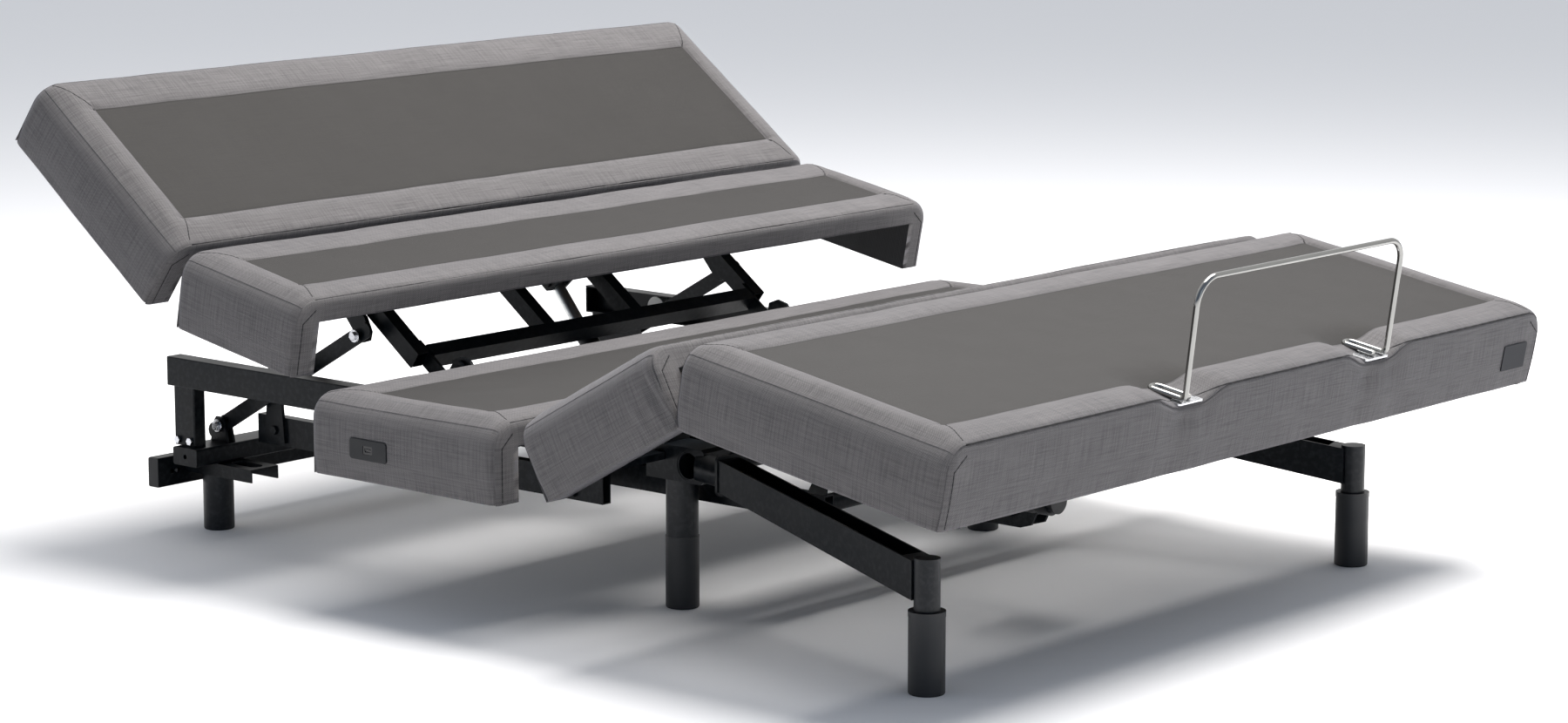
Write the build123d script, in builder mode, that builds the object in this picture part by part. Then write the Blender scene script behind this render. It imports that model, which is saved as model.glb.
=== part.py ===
from build123d import *
import os
from math import cos, sin, radians, atan2, degrees, hypot

os.makedirs("parts", exist_ok=True)

# ---------------------------------------------------------------- driving dimensions (mm)
# +X towards the foot end, +Y towards the far side, +Z up, floor at z = 0
WIDTH = 1524.0            # across the upholstered sections (queen)
HALF = WIDTH / 2
SKIRT = 123.7             # depth of the upholstered side skirts
SKIRT_T = 50.0            # thickness of the skirts
FOAM = 25.0               # top padding over the deck board
BOARD = 15.0              # deck board
FR0 = 41.0                # depth of frame tube top below the padding surface

# padding surface corners, side view (X, Z)
A_HEAD = (-892.3, 769.6)
A_FOOT = (-575.9, 530.7)
B_HEAD = (-560.3, 526.4)
B_FOOT = (-294.9, 475.9)
C_HEAD_X, C_FOOT_X, SEAT_Z = -274.7, 116.9, 338.6
D_HEAD = (155.0, 342.0)
D_TILT = 29.0
D_LEN = 297.0
E_HEAD = (482.7, 496.5)
E_FOOT = (962.2, 413.1)

# pivots, side view (X, Z)
P_BACK = (-328.2, 318.6)
P_LUMBAR = (-587.1, 498.4)
P_THIGH = (156.6, 308.6)
P_CALF = (456.1, 440.3)
S_BASE = (-831.0, 174.0)     # stay link, base end
S_BACK = (-500.0, 361.0)     # stay link, back frame end
BA_BODY = (-340.0, 160.0)    # back actuator, carriage end
BA_ROD = (-530.0, 389.0)     # back actuator, frame end
LA_BODY = (-869.7, 633.5)    # lumbar actuator, frame end
LA_ROD = (-640.0, 420.0)     # lumbar actuator, lever end
TA_BODY = (575.0, 168.0)     # thigh actuator, carriage end
TA_ROD = (360.0, 360.0)      # thigh actuator, frame end
FL_CAR = (376.0, 230.0)      # calf link, carriage end
FL_CALF = (600.0, 365.0)     # calf link, calf frame end

RAIL_Y0, RAIL_Y1 = 488.0, 518.0
RAIL_Z0, RAIL_Z1 = 244.7, 293.4
RAIL_X0, RAIL_X1 = -884.0, 128.0
CAR_Y0, CAR_Y1 = 412.0, 430.0
CAR_Z0, CAR_Z1 = 152.0, 200.0
CAR_X0, CAR_X1 = -761.0, 20.0
LEG1 = (-836.1, 454.1)
LEG2 = (132.9, 373.1)
LEG3 = (747.5, 542.7)
ROLL_X = (-715.0, -60.0)
ROLL_Z = 269.0
ROLL_R = 20.8

def deg2(p, q):
    """tilt of the line p-q below the horizontal, and its unit vectors"""
    l = hypot(q[0] - p[0], q[1] - p[1])
    return (q[0] - p[0]) / l, (q[1] - p[1]) / l, l

tAx, tAz, A_LEN = deg2(A_HEAD, A_FOOT)
tBx, tBz, B_LEN = deg2(B_HEAD, B_FOOT)
tDx, tDz = cos(radians(D_TILT)), sin(radians(D_TILT))
tEx, tEz, E_LEN = deg2(E_HEAD, E_FOOT)

# side-view planes: local x runs along the section towards its foot edge, local y = up off the surface,
# normal along -Y; .offset(-y) moves to +Y
def side(origin, tx, tz, y=0.0):
    return Plane(origin=(origin[0], y, origin[1]), x_dir=(tx, 0, tz), z_dir=(0, -1, 0))

def XZ(y):
    """vertical side-view plane at y, local axes = X and Z, normal -Y"""
    return Plane(origin=(0, y, 0), x_dir=(1, 0, 0), z_dir=(0, -1, 0))

def cross(origin, tx, tz, s):
    """plane across a section at distance s from its head edge: local x = Y, local y = up off the surface,
    normal along the section"""
    return Plane(origin=(origin[0] + tx * s, 0, origin[1] + tz * s), x_dir=(0, 1, 0), z_dir=(tx, 0, tz))

ORIGIN_X = 5.4            # moves the origin to the middle of the overall length

def put(part, name):
    placed = part.moved(Location((-ORIGIN_X, 0, 0)))
    placed.label = name
    export_step(placed, "parts/" + name + ".step")

halves = {}      # members that come in a near and far copy, or on one cross tube, collected into one node

# ================================================================ FIXED BASE
for side_name, sy in (("near", -1), ("far", 1)):
    # C-section guide rail, open towards the middle of the bed
    with BuildPart() as side_rail:
        with BuildSketch(Plane.YZ.offset(RAIL_X0)):
            with Locations((sy * (RAIL_Y0 + RAIL_Y1) / 2, (RAIL_Z0 + RAIL_Z1) / 2)):
                Rectangle(RAIL_Y1 - RAIL_Y0, RAIL_Z1 - RAIL_Z0)
            with Locations((sy * (RAIL_Y0 - 2.5 + RAIL_Y1 - 2.5) / 2, (RAIL_Z0 + RAIL_Z1) / 2)):
                Rectangle(RAIL_Y1 - RAIL_Y0, RAIL_Z1 - RAIL_Z0 - 5.0, mode=Mode.SUBTRACT)
        extrude(amount=RAIL_X1 - RAIL_X0)
        # closing web at the head end stops the rollers
        with BuildSketch(Plane.YZ.offset(RAIL_X0)):
            with Locations((sy * (RAIL_Y0 + RAIL_Y1) / 2, (RAIL_Z0 + RAIL_Z1) / 2)):
                Rectangle(RAIL_Y1 - RAIL_Y0, RAIL_Z1 - RAIL_Z0)
        extrude(amount=3.0)
        fillet(side_rail.part.edges().filter_by(Axis.X).filter_by(lambda e: abs(abs(e.center().Y) - RAIL_Y1) < 0.1), 2.0)
    put(side_rail.part, "side_rail_" + side_name)

    # upright between the lower cross tube and the guide rail
    with BuildPart() as head_post:
        with BuildSketch(Plane.XY.offset(147.0)):
            with Locations((-847.0, sy * 503.0)):
                RectangleRounded(50.0, 25.0, 3.0)
                RectangleRounded(46.0, 21.0, 1.5, mode=Mode.SUBTRACT)
        extrude(amount=RAIL_Z0 - 147.0)
    halves.setdefault("head_posts", []).append(head_post.part)

    # downward-flanged channel over the head leg, with a slot in its top
    with BuildPart() as leg_channel:
        with BuildSketch(Plane.YZ.offset(-884.5)):
            with Locations((sy * LEG1[1], 106.0)):
                Rectangle(60.0, 22.0)
            with Locations((sy * LEG1[1], 103.0)):
                Rectangle(54.0, 22.0, mode=Mode.SUBTRACT)
        extrude(amount=163.5)
        with BuildSketch(Plane.XY.offset(110.0)):
            with Locations((-765.0, sy * LEG1[1])):
                SlotOverall(66.0, 26.0)
        extrude(amount=10.0, mode=Mode.SUBTRACT)
    halves.setdefault("leg_channels", []).append(leg_channel.part)

    # stay link clevis on the stay cross tube
    with BuildPart() as stay_bracket:
        for off in (-8.5, 4.5):
            with BuildSketch(XZ(sy * 446.0 + off + 4.0)):
                with BuildLine():
                    Polyline((-852, 147), (-810, 147), (-818, 180), (-824, 189), (-838, 189), (-846, 178), (-852, 147))
                make_face()
                with Locations(S_BASE):
                    Circle(5.0, mode=Mode.SUBTRACT)
            extrude(amount=4.0)
        # bolt heads and the short stubs of the pin; the middle of the pivot is open
        for yy in (sy * 446.0 + 12.0, sy * 446.0 - 8.5):
            with BuildSketch(XZ(yy)):
                with Locations(S_BASE):
                    RegularPolygon(8.0, 6)
            extrude(amount=3.5)
        for yy in (sy * 446.0 + 9.0, sy * 446.0 - 4.4):
            with BuildSketch(XZ(yy)):
                with Locations(S_BASE):
                    Circle(5.0)
            extrude(amount=4.6)
    halves.setdefault("stay_brackets", []).append(stay_bracket.part)

    # bracket over the middle leg, tied to the guide rail, with the round socket for the outrigger
    with BuildPart() as mid_bracket:
        with BuildSketch(XZ(sy * 375.0 + 30.0)):
            with BuildLine():
                Polyline((88, 203), (200, 203), (206, 209), (206, 252), (200, 257), (122, 257), (88, 234), (88, 203))
            make_face()
        extrude(amount=60.0)
        with BuildSketch(XZ(sy * 375.0 + 27.0)):
            with BuildLine():
                Polyline((91, 206), (203, 206), (203, 254), (123, 254), (91, 232), (91, 206))
            make_face()
        extrude(amount=54.0, mode=Mode.SUBTRACT)
        with BuildSketch(Plane.XY.offset(233.7)):
            with Locations((110.0, sy * 461.5)):
                Rectangle(34.0, 113.0)
        extrude(amount=11.0)
        # stub of round tube pointing along the outrigger
        dx, dy = LEG3[0] - 262.0, LEG3[1] - 412.0
        dl = hypot(dx, dy)
        dx, dy = dx / dl, dy / dl
        stub = Plane(origin=(262.0 - 88.0 * dx, sy * (412.0 - 88.0 * dy), 228.0), x_dir=(0, 0, 1), z_dir=(dx, sy * dy, 0))
        with BuildSketch(stub):
            Circle(22.0)
            Circle(19.0, mode=Mode.SUBTRACT)
        extrude(amount=84.0)
        # the cross tube passes through the bracket
        with BuildSketch(XZ(sy * 375.0 + 45.0)):
            with Locations((174.0, 229.0)):
                Circle(22.6)
        extrude(amount=90.0, mode=Mode.SUBTRACT)
    halves.setdefault("mid_brackets", []).append(mid_bracket.part)

    # outrigger: flange plate, open-topped channel arm and round leg socket
    with BuildPart() as outrigger:
        flange = Plane(origin=(262.0 - 4.0 * dx, sy * (412.0 - 4.0 * dy), 228.0), x_dir=(dy, -sy * dx, 0), z_dir=(dx, sy * dy, 0))
        with BuildSketch(flange):
            RectangleRounded(44.0, 62.0, 8.0)
        extrude(amount=6.0)
        vert = Plane(origin=(262.0 + 2.0 * dx, sy * (412.0 + 2.0 * dy), 0), x_dir=(dx, sy * dy, 0), z_dir=(sy * dy, -dx, 0))
        ARM = dl - 2.0 - 10.0
        with BuildSketch(vert):
            with BuildLine():
                Polyline((0, 204), (0, 253), (ARM, 191), (ARM, 134), (0, 204))
            make_face()
        extrude(amount=20.0, both=True)
        with BuildSketch(vert):
            with BuildLine():
                Polyline((3, 207), (3, 260), (ARM - 26, 200), (ARM - 26, 140), (3, 207))
            make_face()
        extrude(amount=17.0, both=True, mode=Mode.SUBTRACT)
        with BuildSketch(Plane.XY.offset(124.0)):
            with Locations((LEG3[0], sy * LEG3[1])):
                Circle(19.05)
        extrude(amount=90.0, mode=Mode.SUBTRACT)
    put(outrigger.part, "outrigger_" + side_name)

# rectangular tube at the head end that carries the headboard, 25 x 50, with bolt holes
with BuildPart() as headboard_tube:
    with BuildSketch(Plane.XZ.offset(-540.0)):
        with Locations((-897.5, 99.0)):
            RectangleRounded(25.0, 50.0, 3.0)
            RectangleRounded(21.0, 46.0, 1.5, mode=Mode.SUBTRACT)
    extrude(amount=1080.0)
    for sy in (-1, 1):
        for yy in (497.0, 511.0):
            with BuildSketch(Plane.YZ.offset(-915.0)):
                with Locations((sy * yy, 99.0)):
                    Circle(4.25)
            extrude(amount=40.0, mode=Mode.SUBTRACT)
put(headboard_tube.part, "headboard_tube")

# plastic plugs in the open tube ends
with BuildPart() as tube_plugs:
    for y0 in (-540.0, 540.0):
        with BuildSketch(Plane.XZ.offset(-y0)):
            with Locations((-897.5, 99.0)):
                RectangleRounded(24.0, 49.0, 3.0)
        extrude(amount=-2.0 if y0 > 0 else 2.0)
put(tube_plugs.part, "tube_plugs")

# flat-laid cross tube that carries the posts and the stay links, 58 x 30
with BuildPart() as stay_cross_tube:
    with BuildSketch(Plane.XZ.offset(-530.0)):
        with Locations((-831.0, 132.0)):
            RectangleRounded(58.0, 29.9, 4.0)
            RectangleRounded(53.0, 24.9, 2.0, mode=Mode.SUBTRACT)
    extrude(amount=1060.0)
    # welded end caps with a vent hole
    for y0 in (-530.0, 527.0):
        with BuildSketch(Plane.XZ.offset(-y0)):
            with Locations((-831.0, 132.0)):
                RectangleRounded(54.0, 25.9, 2.0)
                Circle(4.0, mode=Mode.SUBTRACT)
        extrude(amount=-3.0)
put(stay_cross_tube.part, "stay_cross_tube")

# round cross tube between the middle brackets
with BuildPart() as mid_cross_tube:
    with BuildSketch(Plane.XZ.offset(-404.0)):
        with Locations((174.0, 229.0)):
            Circle(22.5)
            Circle(20.0, mode=Mode.SUBTRACT)
    extrude(amount=808.0)
put(mid_cross_tube.part, "mid_cross_tube")

# legs: one node per row of legs
for leg_name, (lx, ly), z0, z1, r in (("head_legs", LEG1, 2.0, 113.9, 25.5), ("mid_leg_tubes", LEG2, 100.0, 202.9, 25.0), ("foot_leg_tubes", LEG3, 108.0, 195.0, 19.0)):
    with BuildPart() as legs:
        for sy in (-1, 1):
            with BuildSketch(Plane.XY.offset(z0)):
                with Locations((lx, sy * ly)):
                    Circle(r)
                    Circle(r - 2.0, mode=Mode.SUBTRACT)
            extrude(amount=z1 - z0)
            with BuildSketch(Plane.XY.offset(z1 - 3.0)):
                with Locations((lx, sy * ly)):
                    Circle(r)
            extrude(amount=3.0)
    if leg_name == "head_legs":
        put(legs.part, leg_name)
    else:
        halves.setdefault("leg_tubes", []).append(legs.part)

# screwed-on lower sleeves of the middle and foot legs, thicker than the tube they close
for nm, (lx, ly), zt, rr in (("mid_leg_sleeves", LEG2, 112.0, 26.0), ("foot_leg_sleeves", LEG3, 119.6, 26.5)):
    with BuildPart() as sleeves:
        for sy in (-1, 1):
            with BuildSketch(Plane.XY.offset(2.0)):
                with Locations((lx, sy * ly)):
                    Circle(rr)
            extrude(amount=zt - 2.0)
            if nm[0] == "f":
                with BuildSketch(Plane.XY.offset(108.0)):
                    with Locations((lx, sy * ly)):
                        Circle(19.02)
                extrude(amount=30.0, mode=Mode.SUBTRACT)
                with BuildSketch(Plane.XY.offset(zt - 8.0)):
                    with Locations((lx, sy * ly)):
                        Circle(27.0)
                        Circle(20.0, mode=Mode.SUBTRACT)
                extrude(amount=8.0)
            else:
                with BuildSketch(Plane.XY.offset(100.0)):
                    with Locations((lx, sy * ly)):
                        Circle(25.02)
                extrude(amount=30.0, mode=Mode.SUBTRACT)
            with BuildSketch(Plane.XY.offset(0.0)):
                with Locations((lx, sy * ly)):
                    Circle(rr - 4.0)
            extrude(amount=97.0, mode=Mode.SUBTRACT)
    halves.setdefault("leg_sleeves", []).append(sleeves.part)

# rounded plastic glides under every leg
with BuildPart() as leg_glides:
    for (lx, ly), rr in ((LEG1, 25.0), (LEG2, 25.5), (LEG3, 26.0)):
        for sy in (-1, 1):
            with BuildSketch(Plane.XY):
                with Locations((lx, sy * ly)):
                    Circle(rr)
            extrude(amount=2.0)
    fillet(leg_glides.part.edges().filter_by(lambda e: e.center().Z < 0.1), 1.2)
put(leg_glides.part, "leg_glides")

# hex bolts with washers on the fixed base
with BuildPart() as base_bolts:
    for sy in (-1, 1):
        for bx in (-862.0, -832.0):
            # foot flange bolts of the posts, on top of the cross tube's near end
            with BuildSketch(XZ(sy * 515.6)):
                with Locations((bx, 156.0)):
                    RegularPolygon(6.5, 6)
            extrude(amount=5.0 if sy < 0 else -5.0)
        with BuildSketch(Plane.YZ.offset(-884.9)):
            for yy in (504.0,):
                with Locations((sy * yy, 99.0)):
                    Circle(3.0)
        extrude(amount=2.0)
put(base_bolts.part, "base_bolts")

# ================================================================ CARRIAGE (seat section)
for side_name, sy in (("near", -1), ("far", 1)):
    # lower side tube of the carriage with the roller brackets on its outer face
    with BuildPart() as carriage_rail:
        with BuildSketch(Plane.YZ.offset(CAR_X0)):
            with Locations((sy * (CAR_Y0 + CAR_Y1) / 2, (CAR_Z0 + CAR_Z1) / 2)):
                Rectangle(CAR_Y1 - CAR_Y0, CAR_Z1 - CAR_Z0)
                Rectangle(CAR_Y1 - CAR_Y0 - 4.0, CAR_Z1 - CAR_Z0 - 4.0, mode=Mode.SUBTRACT)
        extrude(amount=CAR_X1 - CAR_X0)
        for rx in ROLL_X:
            with BuildSketch(XZ(sy * 433.0 + 3.0)):
                with BuildLine():
                    Polyline((rx - 24, 158), (rx + 24, 158), (rx + 12, 282), (rx - 12, 282), (rx - 24, 158))
                make_face()
            extrude(amount=6.0)
            with BuildSketch(XZ(sy * 433.0)):
                with Locations((rx, ROLL_Z)):
                    Circle(5.0)
            extrude(amount=-sy * 80.5)
            with BuildSketch(XZ(sy * 436.0)):
                with Locations((rx, 178.0)):
                    RegularPolygon(8.0, 6)
            extrude(amount=-sy * 4.5)
    halves.setdefault("carriage_rails", []).append(carriage_rail.part)

    # seat rail between the cross tubes and the seat board
    with BuildPart() as seat_rail:
        with BuildSketch(Plane.YZ.offset(-272.0)):
            with Locations((sy * 300.0, 264.2)):
                Rectangle(25.0, 68.4)
                Rectangle(21.0, 64.4, mode=Mode.SUBTRACT)
        extrude(amount=365.0)
    halves.setdefault("seat_rails", []).append(seat_rail.part)

    # hinge plates of the back section and of the thigh section
    with BuildPart() as hinge_plates:
        with BuildSketch(XZ(sy * 384.0 + 3.0)):
            with BuildLine():
                Polyline((-272, 230.0), (-226, 230.0), (-308, 332), (-328.2, 337), (-346, 330), (-349, 312), (-272, 230.0))
            make_face()
        extrude(amount=6.0)
        with BuildSketch(XZ(sy * 381.0)):
            with Locations(P_BACK):
                Circle(6.0)
        extrude(amount=-sy * 16.0)
        with BuildSketch(XZ(sy * 284.4 + 3.0)):
            with BuildLine():
                Polyline((40, 240), (90, 240), (95, 257), (150, 284), (166, 299), (168, 312), (160, 320), (148, 320), (108, 286), (40, 286), (40, 240))
            make_face()
        extrude(amount=6.0)
        with BuildSketch(XZ(sy * 287.4)):
            with Locations(P_THIGH):
                Circle(6.0)
        extrude(amount=sy * 18.0)
    halves.setdefault("hinge_plates", []).append(hinge_plates.part)

    # lower beam that carries the thigh actuator and the calf link
    with BuildPart() as leg_beam:
        with BuildSketch(Plane.YZ.offset(-60.0)):
            with Locations((sy * 325.0, 180.0)):
                Rectangle(22.0, 39.8)
                Rectangle(18.0, 35.8, mode=Mode.SUBTRACT)
        extrude(amount=445.0)
        with BuildSketch(XZ(400.0)):
            with Locations((358.0, 180.0)):
                Circle(14.05)
        extrude(amount=800.0, mode=Mode.SUBTRACT)
    halves.setdefault("leg_beams", []).append(leg_beam.part)

    # nylon roller in the guide rail
    for rn, rx in (("head", ROLL_X[0]), ("foot", ROLL_X[1])):
        with BuildPart() as roller:
            with BuildSketch(XZ(sy * 503.0)):
                with Locations((rx, ROLL_Z)):
                    Circle(ROLL_R)
                    Circle(5.1, mode=Mode.SUBTRACT)
            extrude(amount=9.5, both=True)
            fillet(roller.part.edges().filter_by(GeomType.CIRCLE).filter_by(lambda e: e.radius > 15), 1.5)
        halves.setdefault("rollers_" + rn, []).append(roller.part)

# cross tubes of the carriage
with BuildPart() as carriage_cross_tubes:
    for cx in (-250.0, -20.0):
        with BuildSketch(Plane.XZ.offset(-429.9)):
            with Locations((cx, 215.0)):
                Rectangle(40.0, 29.9)
                Rectangle(36.0, 25.9, mode=Mode.SUBTRACT)
        extrude(amount=859.8)
halves["carriage_cross_tubes"] = [carriage_cross_tubes.part]

# round tube at the foot end of the lower beams, with the thigh actuator's clevis
with BuildPart() as foot_cross_tube:
    with BuildSketch(Plane.XZ.offset(-360.0)):
        with Locations((358.0, 180.0)):
            Circle(14.0)
            Circle(11.5, mode=Mode.SUBTRACT)
    extrude(amount=720.0)
    for y0 in (-79.0, -46.0):
        with BuildSketch(XZ(y0)):
            with BuildLine():
                Polyline((346, 172), (370, 172), (400, 152), (545, 150), (560, 158), (564, 172), (575, 180), (586, 176), (590, 162), (580, 142), (560, 136), (395, 136), (346, 160), (346, 172))
            make_face()
        extrude(amount=5.0)
    with BuildSketch(XZ(-46.0)):
        with Locations(TA_BODY):
            Circle(5.0)
    extrude(amount=38.0)
put(foot_cross_tube.part, "foot_cross_tube")

# clevis of the back actuator on the head cross tube
with BuildPart() as actuator_clevis:
    for y0 in (57.0, 28.0):
        with BuildSketch(XZ(y0)):
            with BuildLine():
                Polyline((-270.05, 228), (-270.05, 150), (-346, 147), (-353, 158), (-347, 170), (-330, 174), (-290, 228), (-270.05, 228))
            make_face()
        extrude(amount=5.0)
    with BuildSketch(XZ(57.0)):
        with Locations(BA_BODY):
            Circle(6.0)
    extrude(amount=34.0)
halves["carriage_cross_tubes"].append(actuator_clevis.part)

# seat board and its upholstery
with BuildPart() as seat_deck:
    with BuildSketch(Plane.XY.offset(SEAT_Z - FOAM - BOARD)):
        with Locations(((C_HEAD_X + C_FOOT_X) / 2, 0)):
            Rectangle(C_FOOT_X - C_HEAD_X - 24.0, WIDTH - 2 * SKIRT_T - 2.0)
    extrude(amount=BOARD)
put(seat_deck.part, "seat_deck")

with BuildPart() as seat_cushion:
    with BuildSketch(Plane.YZ.offset(C_HEAD_X)):
        with BuildLine():
            Polyline((-HALF, SEAT_Z - SKIRT), (-HALF, SEAT_Z), (HALF, SEAT_Z), (HALF, SEAT_Z - SKIRT),
                     (HALF - SKIRT_T, SEAT_Z - SKIRT), (HALF - SKIRT_T, SEAT_Z - FOAM), (-HALF + SKIRT_T, SEAT_Z - FOAM),
                     (-HALF + SKIRT_T, SEAT_Z - SKIRT), (-HALF, SEAT_Z - SKIRT))
        make_face()
    extrude(amount=C_FOOT_X - C_HEAD_X)
    # turned-down front and rear edges of the padding
    for x0 in (C_HEAD_X, C_FOOT_X - 11.0):
        with BuildSketch(Plane.YZ.offset(x0)):
            with Locations((0, SEAT_Z - FOAM - BOARD / 2)):
                Rectangle(WIDTH - 2 * SKIRT_T, BOARD)
        extrude(amount=11.0)
    fillet(seat_cushion.part.edges().filter_by(Axis.X).filter_by(lambda e: abs(e.center().Z - SEAT_Z) < 0.1), 38.0)
    # recess for the charging plate in the near skirt
    with BuildSketch(XZ(-HALF + 6.0)):
        with Locations((-147.0, 265.0)):
            RectangleRounded(80.0, 33.0, 6.0)
    extrude(amount=12.0, mode=Mode.SUBTRACT)
    with BuildSketch(XZ(-HALF + 24.0)):
        with Locations((-147.0, 265.0)):
            Rectangle(30.0, 20.0)
    extrude(amount=30.0, mode=Mode.SUBTRACT)
put(seat_cushion.part, "seat_cushion")

# charging plate with its port
with BuildPart() as usb_plate:
    with BuildSketch(XZ(-HALF + 5.5)):
        with Locations((-147.0, 265.0)):
            RectangleRounded(79.0, 32.0, 5.5)
    extrude(amount=7.5)
    fillet(usb_plate.part.faces().sort_by(Axis.Y)[0].edges(), 1.2)
    with BuildSketch(XZ(-HALF + 5.5)):
        with Locations((-147.0, 265.0)):
            Rectangle(20.0, 13.0)
    extrude(amount=12.0, mode=Mode.SUBTRACT)
put(usb_plate.part, "usb_plate")
with BuildPart() as usb_port:
    with BuildSketch(XZ(-HALF + 23.0)):
        with Locations((-147.0, 265.0)):
            Rectangle(19.6, 12.6)
    extrude(amount=24.4)
    with BuildSketch(XZ(-HALF + 10.0)):
        with Locations((-147.0, 265.0)):
            Rectangle(13.0, 6.0)
            with Locations((0, 1.2)):
                Rectangle(10.5, 1.8, mode=Mode.SUBTRACT)
    extrude(amount=15.0, mode=Mode.SUBTRACT)
put(usb_port.part, "usb_port")

# control box under the seat board
with BuildPart() as control_box:
    with BuildSketch(Plane.XY.offset(254.0)):
        with Locations((-125.0, 170.0)):
            RectangleRounded(150.0, 95.0, 8.0)
    extrude(amount=44.4)
    fillet(control_box.part.faces().sort_by(Axis.Z)[0].edges(), 4.0)
    with BuildSketch(Plane.XY.offset(295.0)):
        with Locations((-125.0, 170.0)):
            RectangleRounded(176.0, 95.0, 8.0)
    extrude(amount=3.4)
    # plug sockets along the edge of the box
    with BuildSketch(XZ(122.0)):
        with Locations((-170.0, 275.0), (-140.0, 275.0), (-110.0, 275.0), (-80.0, 275.0)):
            Rectangle(16.0, 12.0)
    extrude(amount=-8.0, mode=Mode.SUBTRACT)
put(control_box.part, "control_box")

# ================================================================ BACK SECTION
for side_name, sy in (("near", -1), ("far", 1)):
    # long side tube of the back frame with hinge ear and stay link ear
    with BuildPart() as back_arm:
        with BuildSketch(cross(A_HEAD, tAx, tAz, 40.0)):
            with Locations((sy * 407.5, -(FR0 + 15.0))):
                Rectangle(25.0, 30.0)
                Rectangle(21.0, 26.0, mode=Mode.SUBTRACT)
        extrude(amount=620.0)
        with BuildSketch(XZ(sy * 392.0 + 3.0)):
            with BuildLine():
                q = [(A_HEAD[0] + tAx * s - tAz * d, A_HEAD[1] + tAz * s + tAx * d) for s, d in ((630.0, -69.0), (630.0, -43.0), (701.0, -43.0), (709.0, -34.0), (709.0, -17.0), (714.0, -9.0), (724.0, -6.0), (733.0, -11.0), (736.0, -22.0), (730.0, -34.0), (712.0, -56.0), (690.0, -69.0), (630.0, -69.0))]
                Polyline(*q)
            make_face()
            with Locations(P_BACK):
                Circle(6.1, mode=Mode.SUBTRACT)
        extrude(amount=6.0)
        with BuildSketch(XZ(sy * 431.0 + 4.0)):
            with BuildLine():
                Polyline((-545, 425), (-497, 389), (-486, 366), (-490, 351), (-503, 347), (-514, 354), (-557, 405), (-545, 425))
            make_face()
        extrude(amount=8.0)
        with BuildSketch(XZ(sy * 420.0)):
            with Locations((-527.0, 396.0)):
                Circle(10.0)
        extrude(amount=-sy * 8.0)
        with BuildSketch(XZ(sy * 428.0)):
            with Locations(S_BACK):
                Circle(5.0)
        extrude(amount=-sy * 25.0)
        with BuildSketch(XZ(sy * 450.5)):
            with Locations(S_BACK):
                RegularPolygon(8.0, 6)
        extrude(amount=-sy * 4.0)
    put(back_arm.part, "back_arm_" + side_name)

    # inner tube of the back frame
    with BuildPart() as back_rib:
        with BuildSketch(cross(A_HEAD, tAx, tAz, 110.0)):
            with Locations((sy * 105.0, -(FR0 + 14.0))):
                Rectangle(25.0, 28.0)
                Rectangle(21.0, 24.0, mode=Mode.SUBTRACT)
        extrude(amount=533.0)
    halves.setdefault("back_ribs", []).append(back_rib.part)

# cross tubes of the back frame, between the side tubes
with BuildPart() as back_cross_head:
    with BuildSketch(side(A_HEAD, tAx, tAz, 394.9)):
        with Locations((95.0, -(FR0 + 14.0))):
            Rectangle(30.0, 28.0)
            Rectangle(26.0, 24.0, mode=Mode.SUBTRACT)
    extrude(amount=789.8)
    # clevis of the lumbar actuator
    for y0 in (23.0, -18.0):
        with BuildSketch(side(A_HEAD, tAx, tAz, y0)):
            with BuildLine():
                Polyline((80, -68.9), (112, -68.9), (109, -112), (90, -112), (80, -68.9))
            make_face()
        extrude(amount=5.0)
    with BuildSketch(XZ(23.0)):
        with Locations(LA_BODY):
            Circle(5.0)
    extrude(amount=46.0)
halves["back_cross_tubes"] = [back_cross_head.part]

with BuildPart() as back_cross_foot:
    with BuildSketch(side(A_HEAD, tAx, tAz, 388.8)):
        with Locations((655.5, -(FR0 + 15.0))):
            Rectangle(25.0, 30.0)
            Rectangle(21.0, 26.0, mode=Mode.SUBTRACT)
    extrude(amount=777.6)
halves["back_cross_tubes"].append(back_cross_foot.part)

# clevis plates that take the back actuator's rod, between the inner tubes
with BuildPart() as back_cross_mid:
    with BuildSketch(side(A_HEAD, tAx, tAz, 92.4)):
        with Locations((518.0, -(FR0 + 12.5))):
            Rectangle(40.0, 25.0)
            Rectangle(36.0, 21.0, mode=Mode.SUBTRACT)
    extrude(amount=184.8)
    # ear plates; the pin is two stubs, the middle of the pivot is open
    for y0, y1 in ((58.0, 62.0), (28.0, 22.0)):
        with BuildSketch(XZ(y0)):
            with BuildLine():
                q = [(A_HEAD[0] + tAx * s - tAz * d, A_HEAD[1] + tAz * s + tAx * d) for s, d in ((499.0, -65.9), (537.0, -65.9), (532.0, -92.0), (525.0, -99.0), (512.0, -99.0), (505.0, -92.0), (499.0, -65.9))]
                Polyline(*q)
            make_face()
        extrude(amount=6.0)
        with BuildSketch(XZ(y1)):
            with Locations(BA_ROD):
                RegularPolygon(8.0, 6)
        extrude(amount=4.0)
put(back_cross_mid.part, "back_cross_mid")

# back board and its upholstery
with BuildPart() as back_deck:
    with BuildSketch(side(A_HEAD, tAx, tAz, 711.0)):
        with Locations((A_LEN / 2 + 8.0, -(FOAM + BOARD / 2))):
            Rectangle(A_LEN - 42.0, BOARD)
    extrude(amount=1422.0)
put(back_deck.part, "back_deck")

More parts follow.
